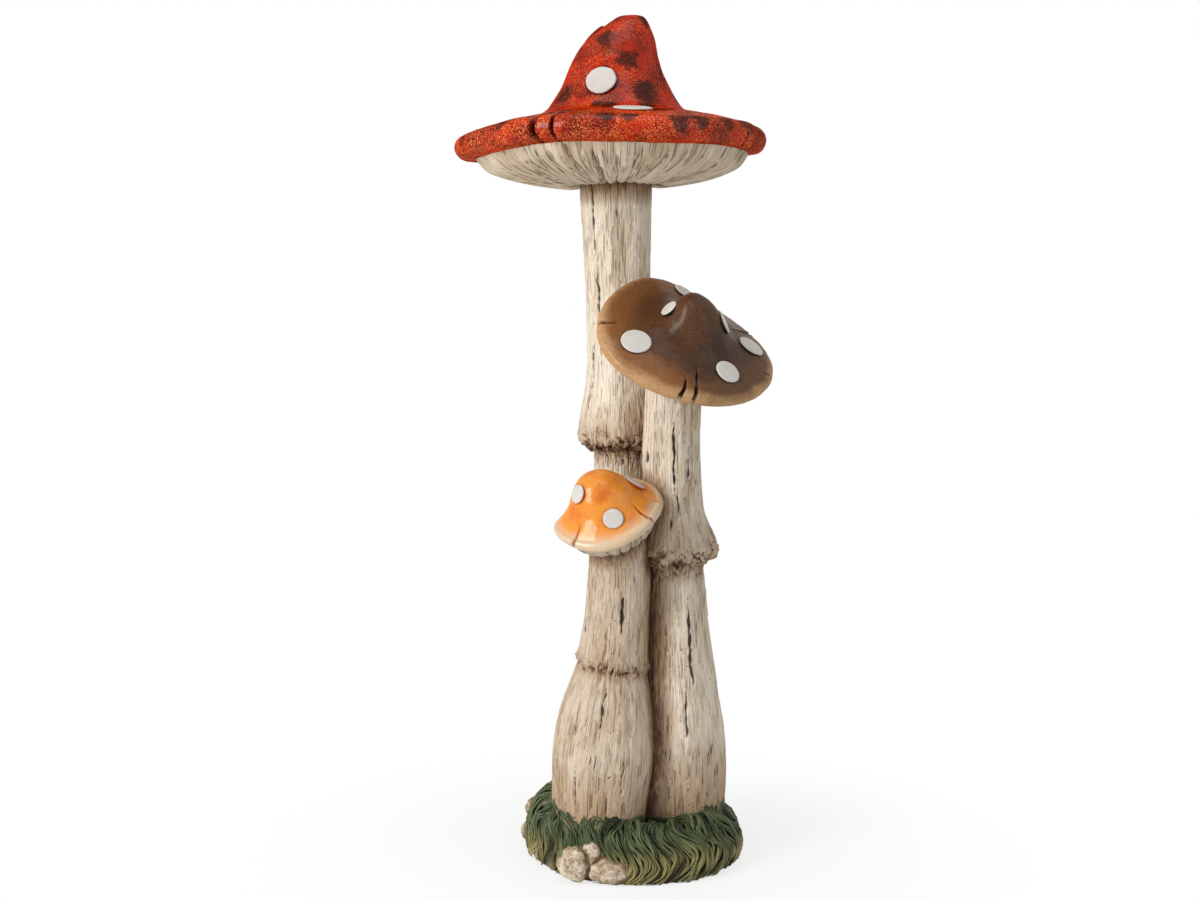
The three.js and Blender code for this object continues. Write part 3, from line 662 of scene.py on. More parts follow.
def handWorked(piece, paintName, lumps, dents, seed):
    # lumps and dents each give a size and a height
    return shaped(piece, handLumps, {
        "Material": paints[paintName], "Seed": seed, "Lump Size": lumps[0] * mm, "Lump Height": lumps[1] * mm,
        "Dent Size": dents[0] * mm, "Dent Depth": dents[1] * mm,
    })


# Lines, skins and what is read from the frame.

def readOff(line, stations, want):
    return np.stack([np.interp(want, stations, line[:, k]) for k in range(line.shape[1])], axis=1)


def evenly(line, count):
    steps = np.linalg.norm(np.diff(line, axis=0), axis=1)
    along = np.concatenate([[0.0], np.cumsum(steps)])
    return readOff(line, along, np.linspace(0.0, along[-1], count))


def lengthOf(line):
    return np.linalg.norm(np.diff(line, axis=0), axis=1).sum()


def smoothLine(stations, finish=24):
    # a smooth line through every station
    points = np.array(stations, float)
    place = np.linspace(0, len(points) - 1, finish * (len(points) - 1) + 1)
    start = np.minimum(place.astype(int), len(points) - 2)
    t = (place - start)[:, None]
    before = points[np.maximum(start - 1, 0)]
    a, b = points[start], points[start + 1]
    after = points[np.minimum(start + 2, len(points) - 1)]
    v0, v1 = (b - before) / 2, (after - a) / 2
    return (2 * a - 2 * b + v0 + v1) * t ** 3 + (-3 * a + 3 * b - 2 * v0 - v1) * t ** 2 + v0 * t + a


def unit(vectors):
    return vectors / np.linalg.norm(vectors, axis=1)[:, None]


def share(values):
    # kept between 0 and 1
    return np.clip(values, 0, 1)


def bell(distance, width):
    return np.exp(-(distance / width) ** 2)


def shortWay(angle):
    return (angle + pi) % (2 * pi) - pi


def waved(waves, bearing):
    return sum(size * np.cos(count * (bearing - radians(crest))) for count, size, crest in waves)


def unevenly(places, step, seed):
    # smooth noise along a line
    return np.array([noise.noise(Vector((place / step, seed, 0.5))) for place in places])


def wrinkle(bearing, stretch, seed):
    # smooth noise round a piece, one value for each bearing
    return np.array([noise.noise(Vector((stretch * cos(b), stretch * sin(b), seed))) for b in bearing])


def spun(outline, bearing):
    # radius and height of an outline's points, at every bearing
    return outline[:, :1] * np.ones(len(bearing)), outline[:, 1:] * np.ones(len(bearing))


def nodeMesh(name):
    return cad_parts[name].data


def meshPoints(mesh):
    points = np.empty(len(mesh.vertices) * 3)
    mesh.vertices.foreach_get("co", points)
    return points.reshape(-1, 3)


def surfaceTree(mesh):
    return BVHTree.FromPolygons([v.co for v in mesh.vertices], [p.vertices[:] for p in mesh.polygons])


def nearness(points, trees, reach):
    # 1 where a point touches one of the trees, falling to 0 at reach
    near = np.zeros(len(points))
    for tree in trees:
        for i, point in enumerate(points):
            distance = tree.find_nearest(point, reach)[3]
            if distance is not None:
                near[i] = max(near[i], 1 - distance / reach)
    return near


def newPiece(name, mesh):
    piece = bpy.data.objects.new(name, mesh)
    bpy.context.scene.collection.objects.link(piece)
    return piece


def skinPiece(name, rings, attributes):
    # a closed skin from rings of points, each ring counter-clockwise, with a fan over its first and last ring
    rows, columns = rings.shape[:2]
    points = np.concatenate([rings.reshape(-1, 3), [rings[0].mean(0)], [rings[-1].mean(0)]])
    index = np.arange(rows * columns).reshape(rows, columns)
    beside = np.roll(index, -1, axis=1)
    quads = np.stack([index[:-1], beside[:-1], beside[1:], index[1:]], axis=-1).reshape(-1, 4)
    first = rows * columns
    faces = quads.tolist()
    faces += [(b, a, first) for a, b in zip(index[0].tolist(), beside[0].tolist())]
    faces += [(a, b, first + 1) for a, b in zip(index[-1].tolist(), beside[-1].tolist())]
    mesh = bpy.data.meshes.new(name)
    mesh.from_pydata(points.tolist(), [], faces)
    for label, values in attributes.items():
        values = np.asarray(values, float)
        kind, field = ("FLOAT_VECTOR", "vector") if values.ndim == 3 else ("FLOAT", "value")
        full = values if values.ndim == 3 else np.broadcast_to(values, (rows, columns))
        flat = full.reshape(rows * columns, -1)
        flat = np.concatenate([flat, [flat[:columns].mean(0)], [flat[-columns:].mean(0)]])
        mesh.attributes.new(label, kind, "POINT").data.foreach_set(field, flat.ravel())
    mesh.shade_smooth()
    return newPiece(name, mesh)


def mapSkin(mesh, rows, columns):
    left, low = np.meshgrid(np.arange(columns) / columns, (np.arange(rows) / (rows - 1))[:-1])
    step, rise = 1 / columns, 1 / (rows - 1)
    corners = [(left, low), (left + step, low), (left + step, low + rise), (left, low + rise)]
    flat = np.stack([np.stack(corner, axis=-1) for corner in corners], axis=2).reshape(-1, 2)
    uv = np.zeros((len(mesh.loops), 2))
    uv[:len(flat)] = flat
    mesh.uv_layers.new(name="skin").data.foreach_set("uv", uv.ravel())


def placeOf(matrix, points):
    turn = np.array(matrix.to_3x3())
    return (points.reshape(-1, 3) @ turn.T + np.array(matrix.translation)).reshape(points.shape)


def mount(piece, slotName, *nodes):
    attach(piece, "root")
    if nodes:
        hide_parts(*nodes)
    return piece


# The three stems. Each carries the form of its solid, with more in it.
tallStem = {
    "node": "tall_stem",
    "lift": 230, "bend": 230,
    "footRadius": 36,
    "lower": [(16, 42), (60, 46), (130, 42), (200, 35), (285, 29)],
    "skirt": {"from": 372, "lip": 12, "neck": 28, "radius": 43},
    "upper": [(408, 39.5), (436, 34), (470, 31.3), (545, 32.2), (600, 33.6)],
    "headRadius": 34.5,
    "lobes": [(3, 0.02, 20), (5, 0.015, 55), (7, 0.024, -12)],
    "rag": 3, "rows": 400, "columns": 240, "seed": 1.0, "washedAndShaded": 0.1,
    "longCracks": [(-47, 548, 650, 1.7, 2.0), (-39, 452, 562, 1.9, 2.5), (-56, 400, 480, 1.5, 2.0),
                   (34, 470, 490, 1.2, 1.0)],
}
middleStem = {
    "node": "middle_stem",
    "lift": 230, "bend": 40,
    "footRadius": 35,
    "lower": [(16, 42), (60, 46), (105, 44), (150, 38), (200, 32)],
    "skirt": {"from": 268, "lip": 11, "neck": 27.5, "radius": 42.5},
    "upper": [(292, 38.5), (309, 31.5), (330, 28.5), (390, 26.6)],
    "headRadius": 27,
    "lobes": [(3, 0.02, 70), (5, 0.024, 15)],
    "rag": 3, "rows": 330, "columns": 240, "seed": 2.0, "washedAndShaded": 0.18,
    "longCracks": [(3, 340, 406, 1.4, 1.5), (37, 350, 370, 1.1, 1.0), (10, 314, 336, 1.2, 1.5),
                   (24, 152, 238, 1.4, 2.0), (10, 96, 150, 1.2, 2.0)],
}
shortStem = {
    "node": "short_stem",
    "lift": 120, "bend": 45,
    "footRadius": 36,
    "lower": [(16, 43), (58, 47.5), (90, 49), (125, 44.5)],
    "skirt": {"from": 171, "lip": 3, "neck": 33.8, "radius": 35.6},
    "upper": [(186, 33.4), (215, 31), (245, 30)],
    "headRadius": 26.5,
    "lobes": [(3, 0.02, 10), (5, 0.022, 40)],
    "rag": 2.5, "rows": 240, "columns": 264, "seed": 3.0, "washedAndShaded": 0.5,
    "longCracks": [(6, 208, 246, 1.4, 1.5), (20, 60, 100, 1.2, 2.0), (-10, 112, 160, 1.2, 2.0),
                   (-34, 40, 78, 1.3, 2.0)],
}

# The three caps, each on its stem. Splits give bearing, length, width, depth and bow.
redCap = {
    "name": "red", "stem": tallStem, "dowelAbove": 20,
    "rimRadius": 148, "rollRadius": 11.5, "rollHeight": 3, "crownHeight": 121,
    "crown": [(14.5, 118.5), (31.5, 100), (40.8, 81), (48, 62), (58, 43), (69, 31), (92, 25), (115, 20.5)],
    "bendFrom": 62, "bendOver": 17,
    "waves": [(2, 3.2, 0), (3, 1, -40), (5, 1, 45)],
    "wobble": [(1, 0.028, -90), (3, 0.01, 30), (4, 0.008, 80)],
    "seatRadius": 130, "seatHeight": -2, "gillEdge": -9.5,
    "gillDish": [(121, -20), (106, -27.5), (85, -33.5), (62, -37.5), (48, -38)], "gillHub": -34,
    "pleats": 36, "pleatDepth": 5.5, "gillColumns": 720,
    "rows": 130, "columns": 330, "seed": 4.0,
    "splits": [(-31, 36, 9, 9, 3.5), (-23, 26, 3.8, 5.5, 1), (56, 30, 3.6, 6, 3), (64, 14, 2.4, 3, 2),
               (172, 30, 5, 7, 0), (108, 22, 3, 5, 1), (-96, 24, 4, 6, -1)],
    "smudges": [(-45, 138, 10), (-38, 131, 8), (15, 43, 11), (31, 58, 13), (25, 70, 8), (-7, 71, 8),
                (-14, 66, 6), (-56, 57, 9), (-27, 33, 9), (23, 146, 11), (31, 145, 10), (45, 146, 8),
                (-72, 146, 8), (57, 145, 9), (-4, 140, 8), (5, 143, 7), (60, 18, 7), (22, 100, 12),
                (-26, 122, 12), (-62, 96, 10), (84, 62, 11), (104, 132, 13), (128, 70, 12),
                (152, 128, 12), (170, 40, 10), (-172, 92, 12), (-150, 56, 12), (-112, 130, 12),
                (-92, 72, 10), (72, 108, 10), (118, 26, 7)],
    "dots": ["front", "brim_front", "upper_left", "right", "brim_left", "back", "brim_back"],
}
brownCap = {
    "name": "brown", "stem": middleStem, "dowelAbove": 19,
    "rimRadius": 84, "rollRadius": 7, "rollHeight": -2, "crownHeight": 47,
    "crown": [(12, 45), (20, 38), (27, 28), (35, 18.5), (46, 12), (60, 8.5)],
    "bendFrom": 14, "bendOver": -10,
    "waves": [(2, 7, 64), (3, 2.7, -8)],
    "wobble": [(2, 0.045, -47), (3, 0.02, -53)],
    "seatRadius": 72, "seatHeight": -3, "gillEdge": -9,
    "gillDish": [(66, -14), (50, -18.5)], "gillHub": -20.5,
    "pleats": 24, "pleatDepth": 3.5, "gillColumns": 480,
    "rows": 110, "columns": 260, "seed": 5.0,
    "splits": [(18, 38, 4.5, 6, 1.5), (9, 21, 4.5, 6, 1.5), (-68, 17, 4.4, 5, 2.5), (-117, 20, 4.4, 5, 1.5),
               (89, 12, 3.2, 4, 1), (141, 34, 4.2, 4.5, 0)],
    "smudges": [(20, 46, 16), (60, 34, 15), (-30, 40, 14), (150, 45, 14), (100, 44, 13)],
    "dots": ["left", "front", "right", "upper_left", "back", "crown_right"],
}
orangeCap = {
    "name": "orange", "stem": shortStem, "dowelAbove": 19,
    "rimRadius": 52.5, "rollRadius": 5, "rollHeight": -2, "crownHeight": 44,
    "crown": [(13, 41.5), (24, 31), (33, 17), (41, 8.5)],
    "bendFrom": 15, "bendOver": -2,
    "waves": [(2, 4, -62), (3, 2.5, 38)],
    "wobble": [(2, 0.01, -15), (3, 0.005, -38)],
    "seatRadius": 42, "seatHeight": -3, "gillEdge": -7.5,
    "gillDish": [(40, -17), (34, -24)], "gillHub": -25,
    "pleats": 20, "pleatDepth": 2.6, "gillColumns": 360,
    "rows": 96, "columns": 220, "seed": 6.0,
    "splits": [(-46, 18, 3.6, 5, 1), (47, 21, 3.4, 5, -2), (76, 11, 2.6, 4, 0), (-150, 15, 2.4, 4, 0)],
    "smudges": [(180, 30, 6)],
    "dots": ["front", "left", "right", "back"],
}
caps = [redCap, brownCap, orangeCap]
fits = {"mortarGap": 0.3, "hubMargin": 2, "seatHeight": 20}


def capMatrix(cap):
    # a cap's own frame, from the dowel that stands on its axis
    points = meshPoints(nodeMesh(cap["name"] + "_dowel"))
    centre = points.mean(0)
    axis = np.linalg.svd(points - centre, full_matrices=False)[2][0]
    axis = axis if axis[2] > 0 else -axis
    top = ((points - centre) @ axis).max()
    origin = centre + axis * (top - cap["dowelAbove"] * mm)
    forward, side = asin(-axis[1]), atan2(axis[0], axis[2])
    turn = Matrix.Rotation(side, 4, "Y") @ Matrix.Rotation(forward, 4, "X")
    return Matrix.Translation(Vector(origin)) @ turn


def hubRadius(cap):
    return cap["stem"]["headRadius"] + fits["hubMargin"]


# Stems. What they are stained, shaded and carved with: each stain or painted shade gives its reach and its
# strength.
stemStainsAndShade = {
    # belowHem and foot: brown wash that is partly painted shade, darker low down
    "aboveHem": (62, 0.72), "belowHem": (26, 0.85), "foot": (110, 0.95), "footTop": 22,
    # hemShade and the contact entries are painted shade, under the hem and near other pieces
    "hemShade": 0.48, "contact": 26, "contactShade": 0.9, "contactShadeWash": 1.25,
    "crackDepth": 3.4, "crackLip": 0.7, "lipReach": 5,
}
hemTeeth = {
    "even": 7, "drift": 3,
    "torn": [(1.0, 5.0, 0), (1.0, 11.0, 7), (0.8, 24.0, 9)],       # strength, fineness and seed
}
crackShape = {
    "jagStep": 17, "fineJagStep": 6, "fineJag": 0.5,
    "thinnest": 0.45, "swell": 1.6, "swellStep": 10,
}
barkCarving = {
    "Grain Width": 3.2 * mm, "Grain Length": 90 * mm, "Grain Depth": 0.38 * mm,
    "Crack Width": 14 * mm, "Crack Length": 80 * mm, "Crack Depth": 1.6 * mm, "Crack Share": 0.3,
    "Plate Depth": 0.8 * mm, "Lump Height": 2.8 * mm,
}
barkRadius = 40         # the radius at which every stem's bark is drawn
axisSteps = 600


def stemAxis(cap):
    # the middle line of a stem, in metres, and its length
    stem = cap["stem"]
    points = meshPoints(nodeMesh(stem["node"]))
    ring = points[points[:, 2] < points[:, 2].min() + 0.2 * mm]
    foot = np.array([*ring[:, :2].mean(0), fits["seatHeight"] * mm])
    matrix = capMatrix(cap)
    headHeight = cap["gillHub"] - fits["mortarGap"]
    corners = np.array([
        foot,
        foot + [0, 0, stem["lift"] * mm],
        matrix @ Vector((0, 0, (headHeight - stem["bend"]) * mm)),
        matrix @ Vector((0, 0, headHeight * mm)),
    ])
    t = np.linspace(0, 1, axisSteps)[:, None]
    line = ((1 - t) ** 3 * corners[0] + 3 * (1 - t) ** 2 * t * corners[1]
            + 3 * (1 - t) * t ** 2 * corners[2] + t ** 3 * corners[3])
    return evenly(line, axisSteps), lengthOf(line)


def stemOutline(stem, length):
    # [radius, height up the axis] from foot to head: below the skirt, its rounded hem, and above it
    skirt = stem["skirt"]
    lower = [(stem["footRadius"], 0)] + [(r, h) for h, r in stem["lower"]]
    lower.append((skirt["neck"], skirt["from"] - skirt["lip"]))
    turn = np.linspace(0, pi / 2, 16)
    overhang = skirt["radius"] - skirt["neck"]
    hem = np.stack([skirt["neck"] + overhang * np.sin(turn),
                    skirt["from"] + skirt["lip"] * (1 - np.cos(turn))], axis=1)
    upper = [tuple(hem[-1])] + [(r, h) for h, r in stem["upper"]] + [(stem["headRadius"], length)]
    line = np.concatenate([smoothLine(lower), hem, smoothLine(upper)[1:]])
    return evenly(line, stem["rows"])


def stemPiece(cap):
    stem = cap["stem"]
    skirt = stem["skirt"]
    axis, length = stemAxis(cap)
    length = length / mm
    outline = stemOutline(stem, length)
    bearing = np.linspace(0, 2 * pi, stem["columns"], endpoint=False)
    radius, height = outline[:, :1], outline[:, 1:]
    fromHem = height - skirt["from"] - skirt["lip"] / 2
    window = share(1 - np.abs(fromHem) / (2 * skirt["lip"]))
    teeth = np.sin(hemTeeth["even"] * bearing + np.cos(hemTeeth["drift"] * bearing))
    for strength, fineness, offset in hemTeeth["torn"]:
        teeth = teeth + strength * wrinkle(bearing, fineness, stem["seed"] + offset)
    height = height + window * stem["rag"] * teeth[None, :]
    reach = radius * (1 + waved(stem["lobes"], bearing)[None, :])
    reach = reach.ravel()[:, None] * mm
    up = share(height / length)
    stations = np.linspace(0, 1, len(axis))
    place = readOff(axis, stations, up.ravel())
    tangent = readOff(unit(np.gradient(axis, axis=0)), stations, up.ravel())
    across = unit(np.array([1.0, 0, 0]) - tangent * tangent[:, :1])
    back = np.cross(tangent, across)
    angle = np.broadcast_to(bearing[None, :], height.shape).ravel()[:, None]
    points = place + across * reach * np.sin(angle) - back * reach * np.cos(angle) \
        + tangent * ((height - up * length).ravel()[:, None] * mm)
    straight = np.stack([barkRadius * mm * np.sin(angle[:, 0]), barkRadius * mm * np.cos(angle[:, 0]),
                         height.ravel() * mm], axis=1)

    # brown wash round the hem and at the foot, partly painted shade below the hem and low down, and painted
    # shade under the hem and where the stem comes near another piece
    (aboveReach, aboveStain), (belowReach, belowStainAndShade) = stemStainsAndShade["aboveHem"], stemStainsAndShade["belowHem"]
    footReach, footStainAndShade = stemStainsAndShade["foot"]
    above = share(1 - (height - skirt["from"]) / aboveReach) * (height > skirt["from"])
    below = share(1 - (skirt["from"] - height) / belowReach) * (height <= skirt["from"])
    foot = share(1 - (height - stemStainsAndShade["footTop"]) / footReach) ** 0.8 * footStainAndShade
    # brown wash over the whole stem, heavier on the lower stems, partly painted shade
    stainAndShade = np.maximum(np.maximum(aboveStain * above, belowStainAndShade * below), np.maximum(foot, stem["washedAndShaded"]))
    # painted shade under the hem
    grimeAndShade = stemStainsAndShade["hemShade"] * bell(height - skirt["from"] - 1, 1 + 0.3 * skirt["lip"])
    # painted shade, darker and browner, where the stem comes near another stem or a gill plate
    others = [other["stem"]["node"] for other in caps if other["stem"] is not stem]
    others += [other["name"] + "_gills" for other in caps]
    contact = nearness(points, [surfaceTree(nodeMesh(other)) for other in others], stemStainsAndShade["contact"] * mm)
    contact = contact.reshape(grimeAndShade.shape)
    grimeAndShade = np.maximum(grimeAndShade, stemStainsAndShade["contactShade"] * contact ** 1.8)
    stainAndShade = np.maximum(stainAndShade, stemStainsAndShade["contactShadeWash"] * contact ** 0.7)

    # long cracks, each at its bearing from low to high, with one raised lip
    split = -np.ones(height.shape)
    lip = np.zeros(height.shape)
    level = outline[:, 1]
    for at, low, high, width, wander in stem["longCracks"]:
        along = share((height - low) / (high - low))
        ends = np.sin(pi * along) ** 0.5 * (height > low) * (height < high)
        jag = unevenly(level, crackShape["jagStep"], at)
        jag = jag + crackShape["fineJag"] * unevenly(level, crackShape["fineJagStep"], at)
        aside = shortWay(bearing[None, :] - radians(at)) * radius - wander * jag[:, None]
        swell = np.abs(unevenly(level, crackShape["swellStep"], at + 5))
        wide = width * (crackShape["thinnest"] + crackShape["swell"] * swell)[:, None] * ends
        split = np.maximum(split, 1 - np.abs(aside) / np.maximum(wide, 0.01))
        lip = np.maximum(lip, np.exp(-np.abs(aside) / stemStainsAndShade["lipReach"]) * (aside > 0) * ends)
    inward = (points - place) / np.maximum(np.linalg.norm(points - place, axis=1)[:, None], 1e-6)
    sink = (stemStainsAndShade["crackDepth"] * np.maximum(split, 0) - stemStainsAndShade["crackLip"] * lip).ravel()[:, None] * mm
    rings = (points - inward * sink).reshape(*height.shape, 3)
    piece = skinPiece(stem["node"] + "_skin", rings, {
        "straight": straight.reshape(rings.shape),
        "stainAndShade": stainAndShade, "grimeAndShade": grimeAndShade, "split": split, "rough": 1.0,
        "ragged": bell(height - skirt["from"] - 2, 3 + 1.3 * skirt["lip"]),
    })
    shaped(piece, relief, {**barkCarving, "Material": paints["stem"], "Seed": stem["seed"]})
    return mount(piece, "stem", stem["node"])


# Caps.
# dark paint sponged on a cap, and a ring round each dot that is partly painted shade
smudgeAndShade = {"strongest": 0.76, "fall": 0.34, "spread": 1.15,
          "roundDots": 0.62, "ringGap": 0.4, "ringWidth": 1.6, "ringDepth": 9}
splitLip = {"height": 0.5, "width": 1.2}


def sway(cap, x, y, z):
    # as the solid's: outside the hub the rim rises and falls, and the crown bends over
    hub = hubRadius(cap)
    out = share((np.hypot(x, y) - hub) / (cap["rimRadius"] - hub)) ** 1.5
    bearing = np.arctan2(x, -y)
    spread = 1 + out * waved(cap["wobble"], bearing)
    bent = np.maximum(0, z - cap["bendFrom"]) / (cap["crownHeight"] - cap["bendFrom"])
    return x * spread + cap["bendOver"] * bent ** 2, y * spread, z + out * waved(cap["waves"], bearing)


def capOutline(cap):
    turn = np.linspace(-pi / 2, pi / 2, 24)
    size = cap["rollRadius"]
    roll = np.stack([cap["rimRadius"] - size + size * np.cos(turn),
                     cap["rollHeight"] + size * np.sin(turn)], axis=1)
    brim = smoothLine([tuple(roll[-1])] + cap["crown"][::-1] + [(0.4, cap["crownHeight"])])
    under = np.array([(cap["seatRadius"], cap["seatHeight"]), (cap["seatRadius"], cap["gillEdge"])], float)
    return evenly(np.concatenate([under, roll, brim[1:]]), cap["rows"])


def capBearings(cap):
    # even columns, with more of them at each split
    bearings = [np.linspace(-pi, pi, cap["columns"], endpoint=False)]
    for at, length, width, depth, bow in cap["splits"]:
        half = (width / 2 + abs(bow) + 1.5) / (cap["rimRadius"] - length)
        bearings.append(np.linspace(radians(at) - half, radians(at) + half, 14))
    merged = np.sort(np.concatenate(bearings))
    keep = np.concatenate([[True], np.diff(merged) > 0.35 / cap["rimRadius"]])
    return merged[keep]


def capSpot(cap, at, out):
    # a place on a cap's top, at a bearing and a distance from its axis
    outline = capOutline(cap)
    top = outline[np.argmin(outline[:, 1]):]
    top = top[np.argmax(top[:, 0]):][::-1]
    height = np.interp(out, top[:, 0], top[:, 1])
    x, y = out * sin(radians(at)), -out * cos(radians(at))
    return np.array([float(v) for v in sway(cap, np.array(x), np.array(y), np.array(height))])


def capPiece(cap):
    name, rim = cap["name"], cap["rimRadius"]
    outline = capOutline(cap)
    bearing = capBearings(cap)
    radius, height = spun(outline, bearing)
    slope = unit(np.gradient(outline, axis=0))
    facing = np.stack([slope[:, 1], -slope[:, 0]], axis=1)
    upperRim = (np.arange(len(outline)) > np.argmin(outline[:, 1]))[:, None]
    cut = np.zeros(radius.shape)
    sink = np.zeros(radius.shape)
    for at, length, width, depth, bow in cap["splits"]:
        along = share((radius - (rim - length)) / length)
        middle = radians(at) + bow * np.sin(along * pi) / rim
        gap = np.abs(shortWay(bearing - middle)) * radius
        half = np.maximum(width / 2 * along ** 0.6, 0.01)
        side = share(1 - gap / half) * upperRim
        sink = np.maximum(sink, depth * (side ** 0.6 * share(along * 3)))
        lip = bell(gap - half - splitLip["width"], splitLip["width"])
        sink -= splitLip["height"] * lip * share(along * 2) * upperRim * (sink <= 0)
        cut = np.maximum(cut, share(side * 2.2) * share(along * 4))
    sunkRadius = radius - sink * facing[:, :1]
    sunkHeight = height - sink * facing[:, 1:]
    x, y, z = sway(cap, sunkRadius * np.sin(bearing), -sunkRadius * np.cos(bearing), sunkHeight)
    local = np.stack([x, y, z], axis=-1)
    rings = placeOf(capMatrix(cap), local * mm)

    # dark paint sponged on, and a dark ring round each dot that is partly painted shade
    dabsAndShade = np.zeros(radius.shape)
    for at, out, size in cap["smudges"]:
        away = np.linalg.norm(local - capSpot(cap, at, out), axis=-1)
        dab = smudgeAndShade["strongest"] - smudgeAndShade["fall"] * (away / (smudgeAndShade["spread"] * size)) ** 2
        dabsAndShade = np.maximum(dabsAndShade, np.clip(dab, 0, smudgeAndShade["strongest"]))
    # a dark ring round each dot: grime, and painted shade at the dot's edge
    for dot in cap["dots"]:
        centre, normal, size = dotPlace(cap, name + "_dot_" + dot)
        offset = rings - centre
        lift = (offset @ normal)[..., None] * normal
        away = np.linalg.norm(offset - lift, axis=-1)
        ring = bell(away - size - smudgeAndShade["ringGap"] * mm, smudgeAndShade["ringWidth"] * mm)
        ring = ring * (np.linalg.norm(lift, axis=-1) < smudgeAndShade["ringDepth"] * mm)
        dabsAndShade = np.maximum(dabsAndShade, smudgeAndShade["roundDots"] * ring)
    piece = skinPiece(name + "_cap_skin", rings, {
        "smudgeAndShade": dabsAndShade,
        "toRim": np.where(upperRim, radius / rim, 1.0),
        "rightward": x / rim + 0.25 * z / cap["crownHeight"],
        "cut": cut,
    })
    handWorked(piece, name, (0.24 * rim, 0.011 * rim), (7, 0.18), cap["seed"])
    return mount(piece, name, name + "_cap")


# Gill plates. Their pleats start a little outside the hub and fade near the edge.
gill = {
    "rows": 92, "clearOfHub": 1, "inner": 0.1, "outer": 0.12, "edgeFold": 0.2, "uneven": 0.5,
    "hubDarkReach": 16, "hubDarkness": 0.7, "smoothEdge": 3, "drawnRadius": 60, "backShare": 0.3,
}
gillCarving = {
    "Grain Width": 2.0 * mm, "Grain Length": 45 * mm, "Grain Depth": 0.5 * mm,
    "Crack Width": 9 * mm, "Crack Length": 80 * mm, "Crack Depth": 0.9 * mm, "Crack Share": 0.25,
    "Plate Depth": 0.2 * mm,
}


def gillPiece(cap):
    name = cap["name"]
    hub = hubRadius(cap)
    edge = cap["seatRadius"] - fits["mortarGap"]
    top = cap["seatHeight"] - fits["mortarGap"]
    face = smoothLine([(hub, cap["gillHub"])] + cap["gillDish"][::-1] + [(edge, cap["gillEdge"])])
    middle = gill["backShare"] * hub
    face = evenly(np.concatenate([[(middle, cap["gillHub"])], face]), gill["rows"])
    outline = np.concatenate([face, [(edge, top), (middle, top)]])
    bearing = np.linspace(-pi, pi, cap["gillColumns"], endpoint=False)
    radius, height = spun(outline, bearing)
    x, y, z = sway(cap, radius * np.sin(bearing), -radius * np.cos(bearing), height)
    rings = placeOf(capMatrix(cap), np.stack([x, y, z], axis=-1) * mm)
    inner = share((radius - hub - gill["clearOfHub"]) / (gill["inner"] * (edge - hub))) ** 0.6
    outer = share((edge - radius) / (gill["outer"] * (edge - hub))) ** 0.7
    outer = outer * (1 - gill["edgeFold"]) + gill["edgeFold"]
    onFace = (np.arange(len(outline)) < len(face) - 1)[:, None]
    drawn = gill["drawnRadius"] * mm * np.ones(radius.shape)
    piece = skinPiece(name + "_gills_skin", rings, {
        "straight": np.stack([drawn * np.sin(bearing), drawn * np.cos(bearing), radius * mm], axis=-1),
        "bearing": bearing, "fold": inner * outer * onFace,
        "rough": onFace * share((edge - radius) / gill["smoothEdge"]),
        # darker towards the hub
        "stainAndShade": share((hub + gill["hubDarkReach"] - radius) / gill["hubDarkReach"]) * gill["hubDarkness"],
    })
    shaped(piece, pleats, {
        "Material": paints["gill"], "Pleats": float(cap["pleats"]), "Depth": cap["pleatDepth"] * mm,
        "Uneven": gill["uneven"], "Seed": cap["seed"],
    })
    shaped(piece, relief, {**gillCarving, "Material": paints["gill"], "Seed": cap["seed"]})
    return mount(piece, "gill", name + "_gills")


# Dots: flat painted discs with a soft edge, each on the face of its solid.
disc = {"columns": 64, "edge": 1.4, "crown": 0.35, "uneven": 0.03, "depth": 6.5, "taper": 0.97}


def dotPlace(cap, node):
    # the middle of a dot's face, the way that it faces, and its radius
    points = meshPoints(nodeMesh(node))
    centre = points.mean(0)
    normal = np.linalg.eigh(np.cov((points - centre).T))[1][:, 0]
    normal = normal if normal @ (centre - np.array(capMatrix(cap).translation)) > 0 else -normal
    along = (points - centre) @ normal
    flat = (points - centre) - along[:, None] * normal
    return centre + normal * along.max(), normal, np.linalg.norm(flat, axis=1).max()


def dotPiece(cap, node, seed):
    face, normal, size = dotPlace(cap, node)
    size = size / mm
    turn = np.linspace(0, pi / 2, 7)
    edge = disc["edge"]
    side = np.stack([size - edge + edge * np.cos(turn), -edge + edge * np.sin(turn)], axis=1)
    inward = np.linspace(size - edge, 0.4, 12)[1:]
    top = np.stack([inward, disc["crown"] * (1 - (inward / (size - edge)) ** 2)], axis=1)
    outline = np.concatenate([[(disc["taper"] * size, -disc["depth"])], side, top])
    bearing = np.linspace(0, 2 * pi, disc["columns"], endpoint=False)
    uneven = 1 + disc["uneven"] * (wrinkle(bearing, 1.3, seed) + 0.5 * wrinkle(bearing, 3.0, seed + 5))
    radius = outline[:, :1] * uneven[None, :]
    height = spun(outline, bearing)[1]
    local = np.stack([radius * np.sin(bearing), -radius * np.cos(bearing), height], axis=-1) * mm
    turned = Vector((0, 0, 1)).rotation_difference(Vector(normal)).to_matrix().to_4x4()
    rings = placeOf(Matrix.Translation(Vector(face)) @ turned, local)
    piece = skinPiece(node + "_disc", rings, {"side": share((-0.55 * edge - height) / 0.3)})
    handWorked(piece, cap["name"] + "Dots", (8, 0.25), (2.5, 0.08), seed)
    return mount(piece, "white", node)


stemSkins = [stemPiece(cap) for cap in caps]
print("stems carved")
for cap in caps:
    capPiece(cap)
    gillPiece(cap)
    for i, dot in enumerate(cap["dots"]):
        dotPiece(cap, cap["name"] + "_dot_" + dot, cap["seed"] + 0.37 * i)
print("caps, gills and dots in place")

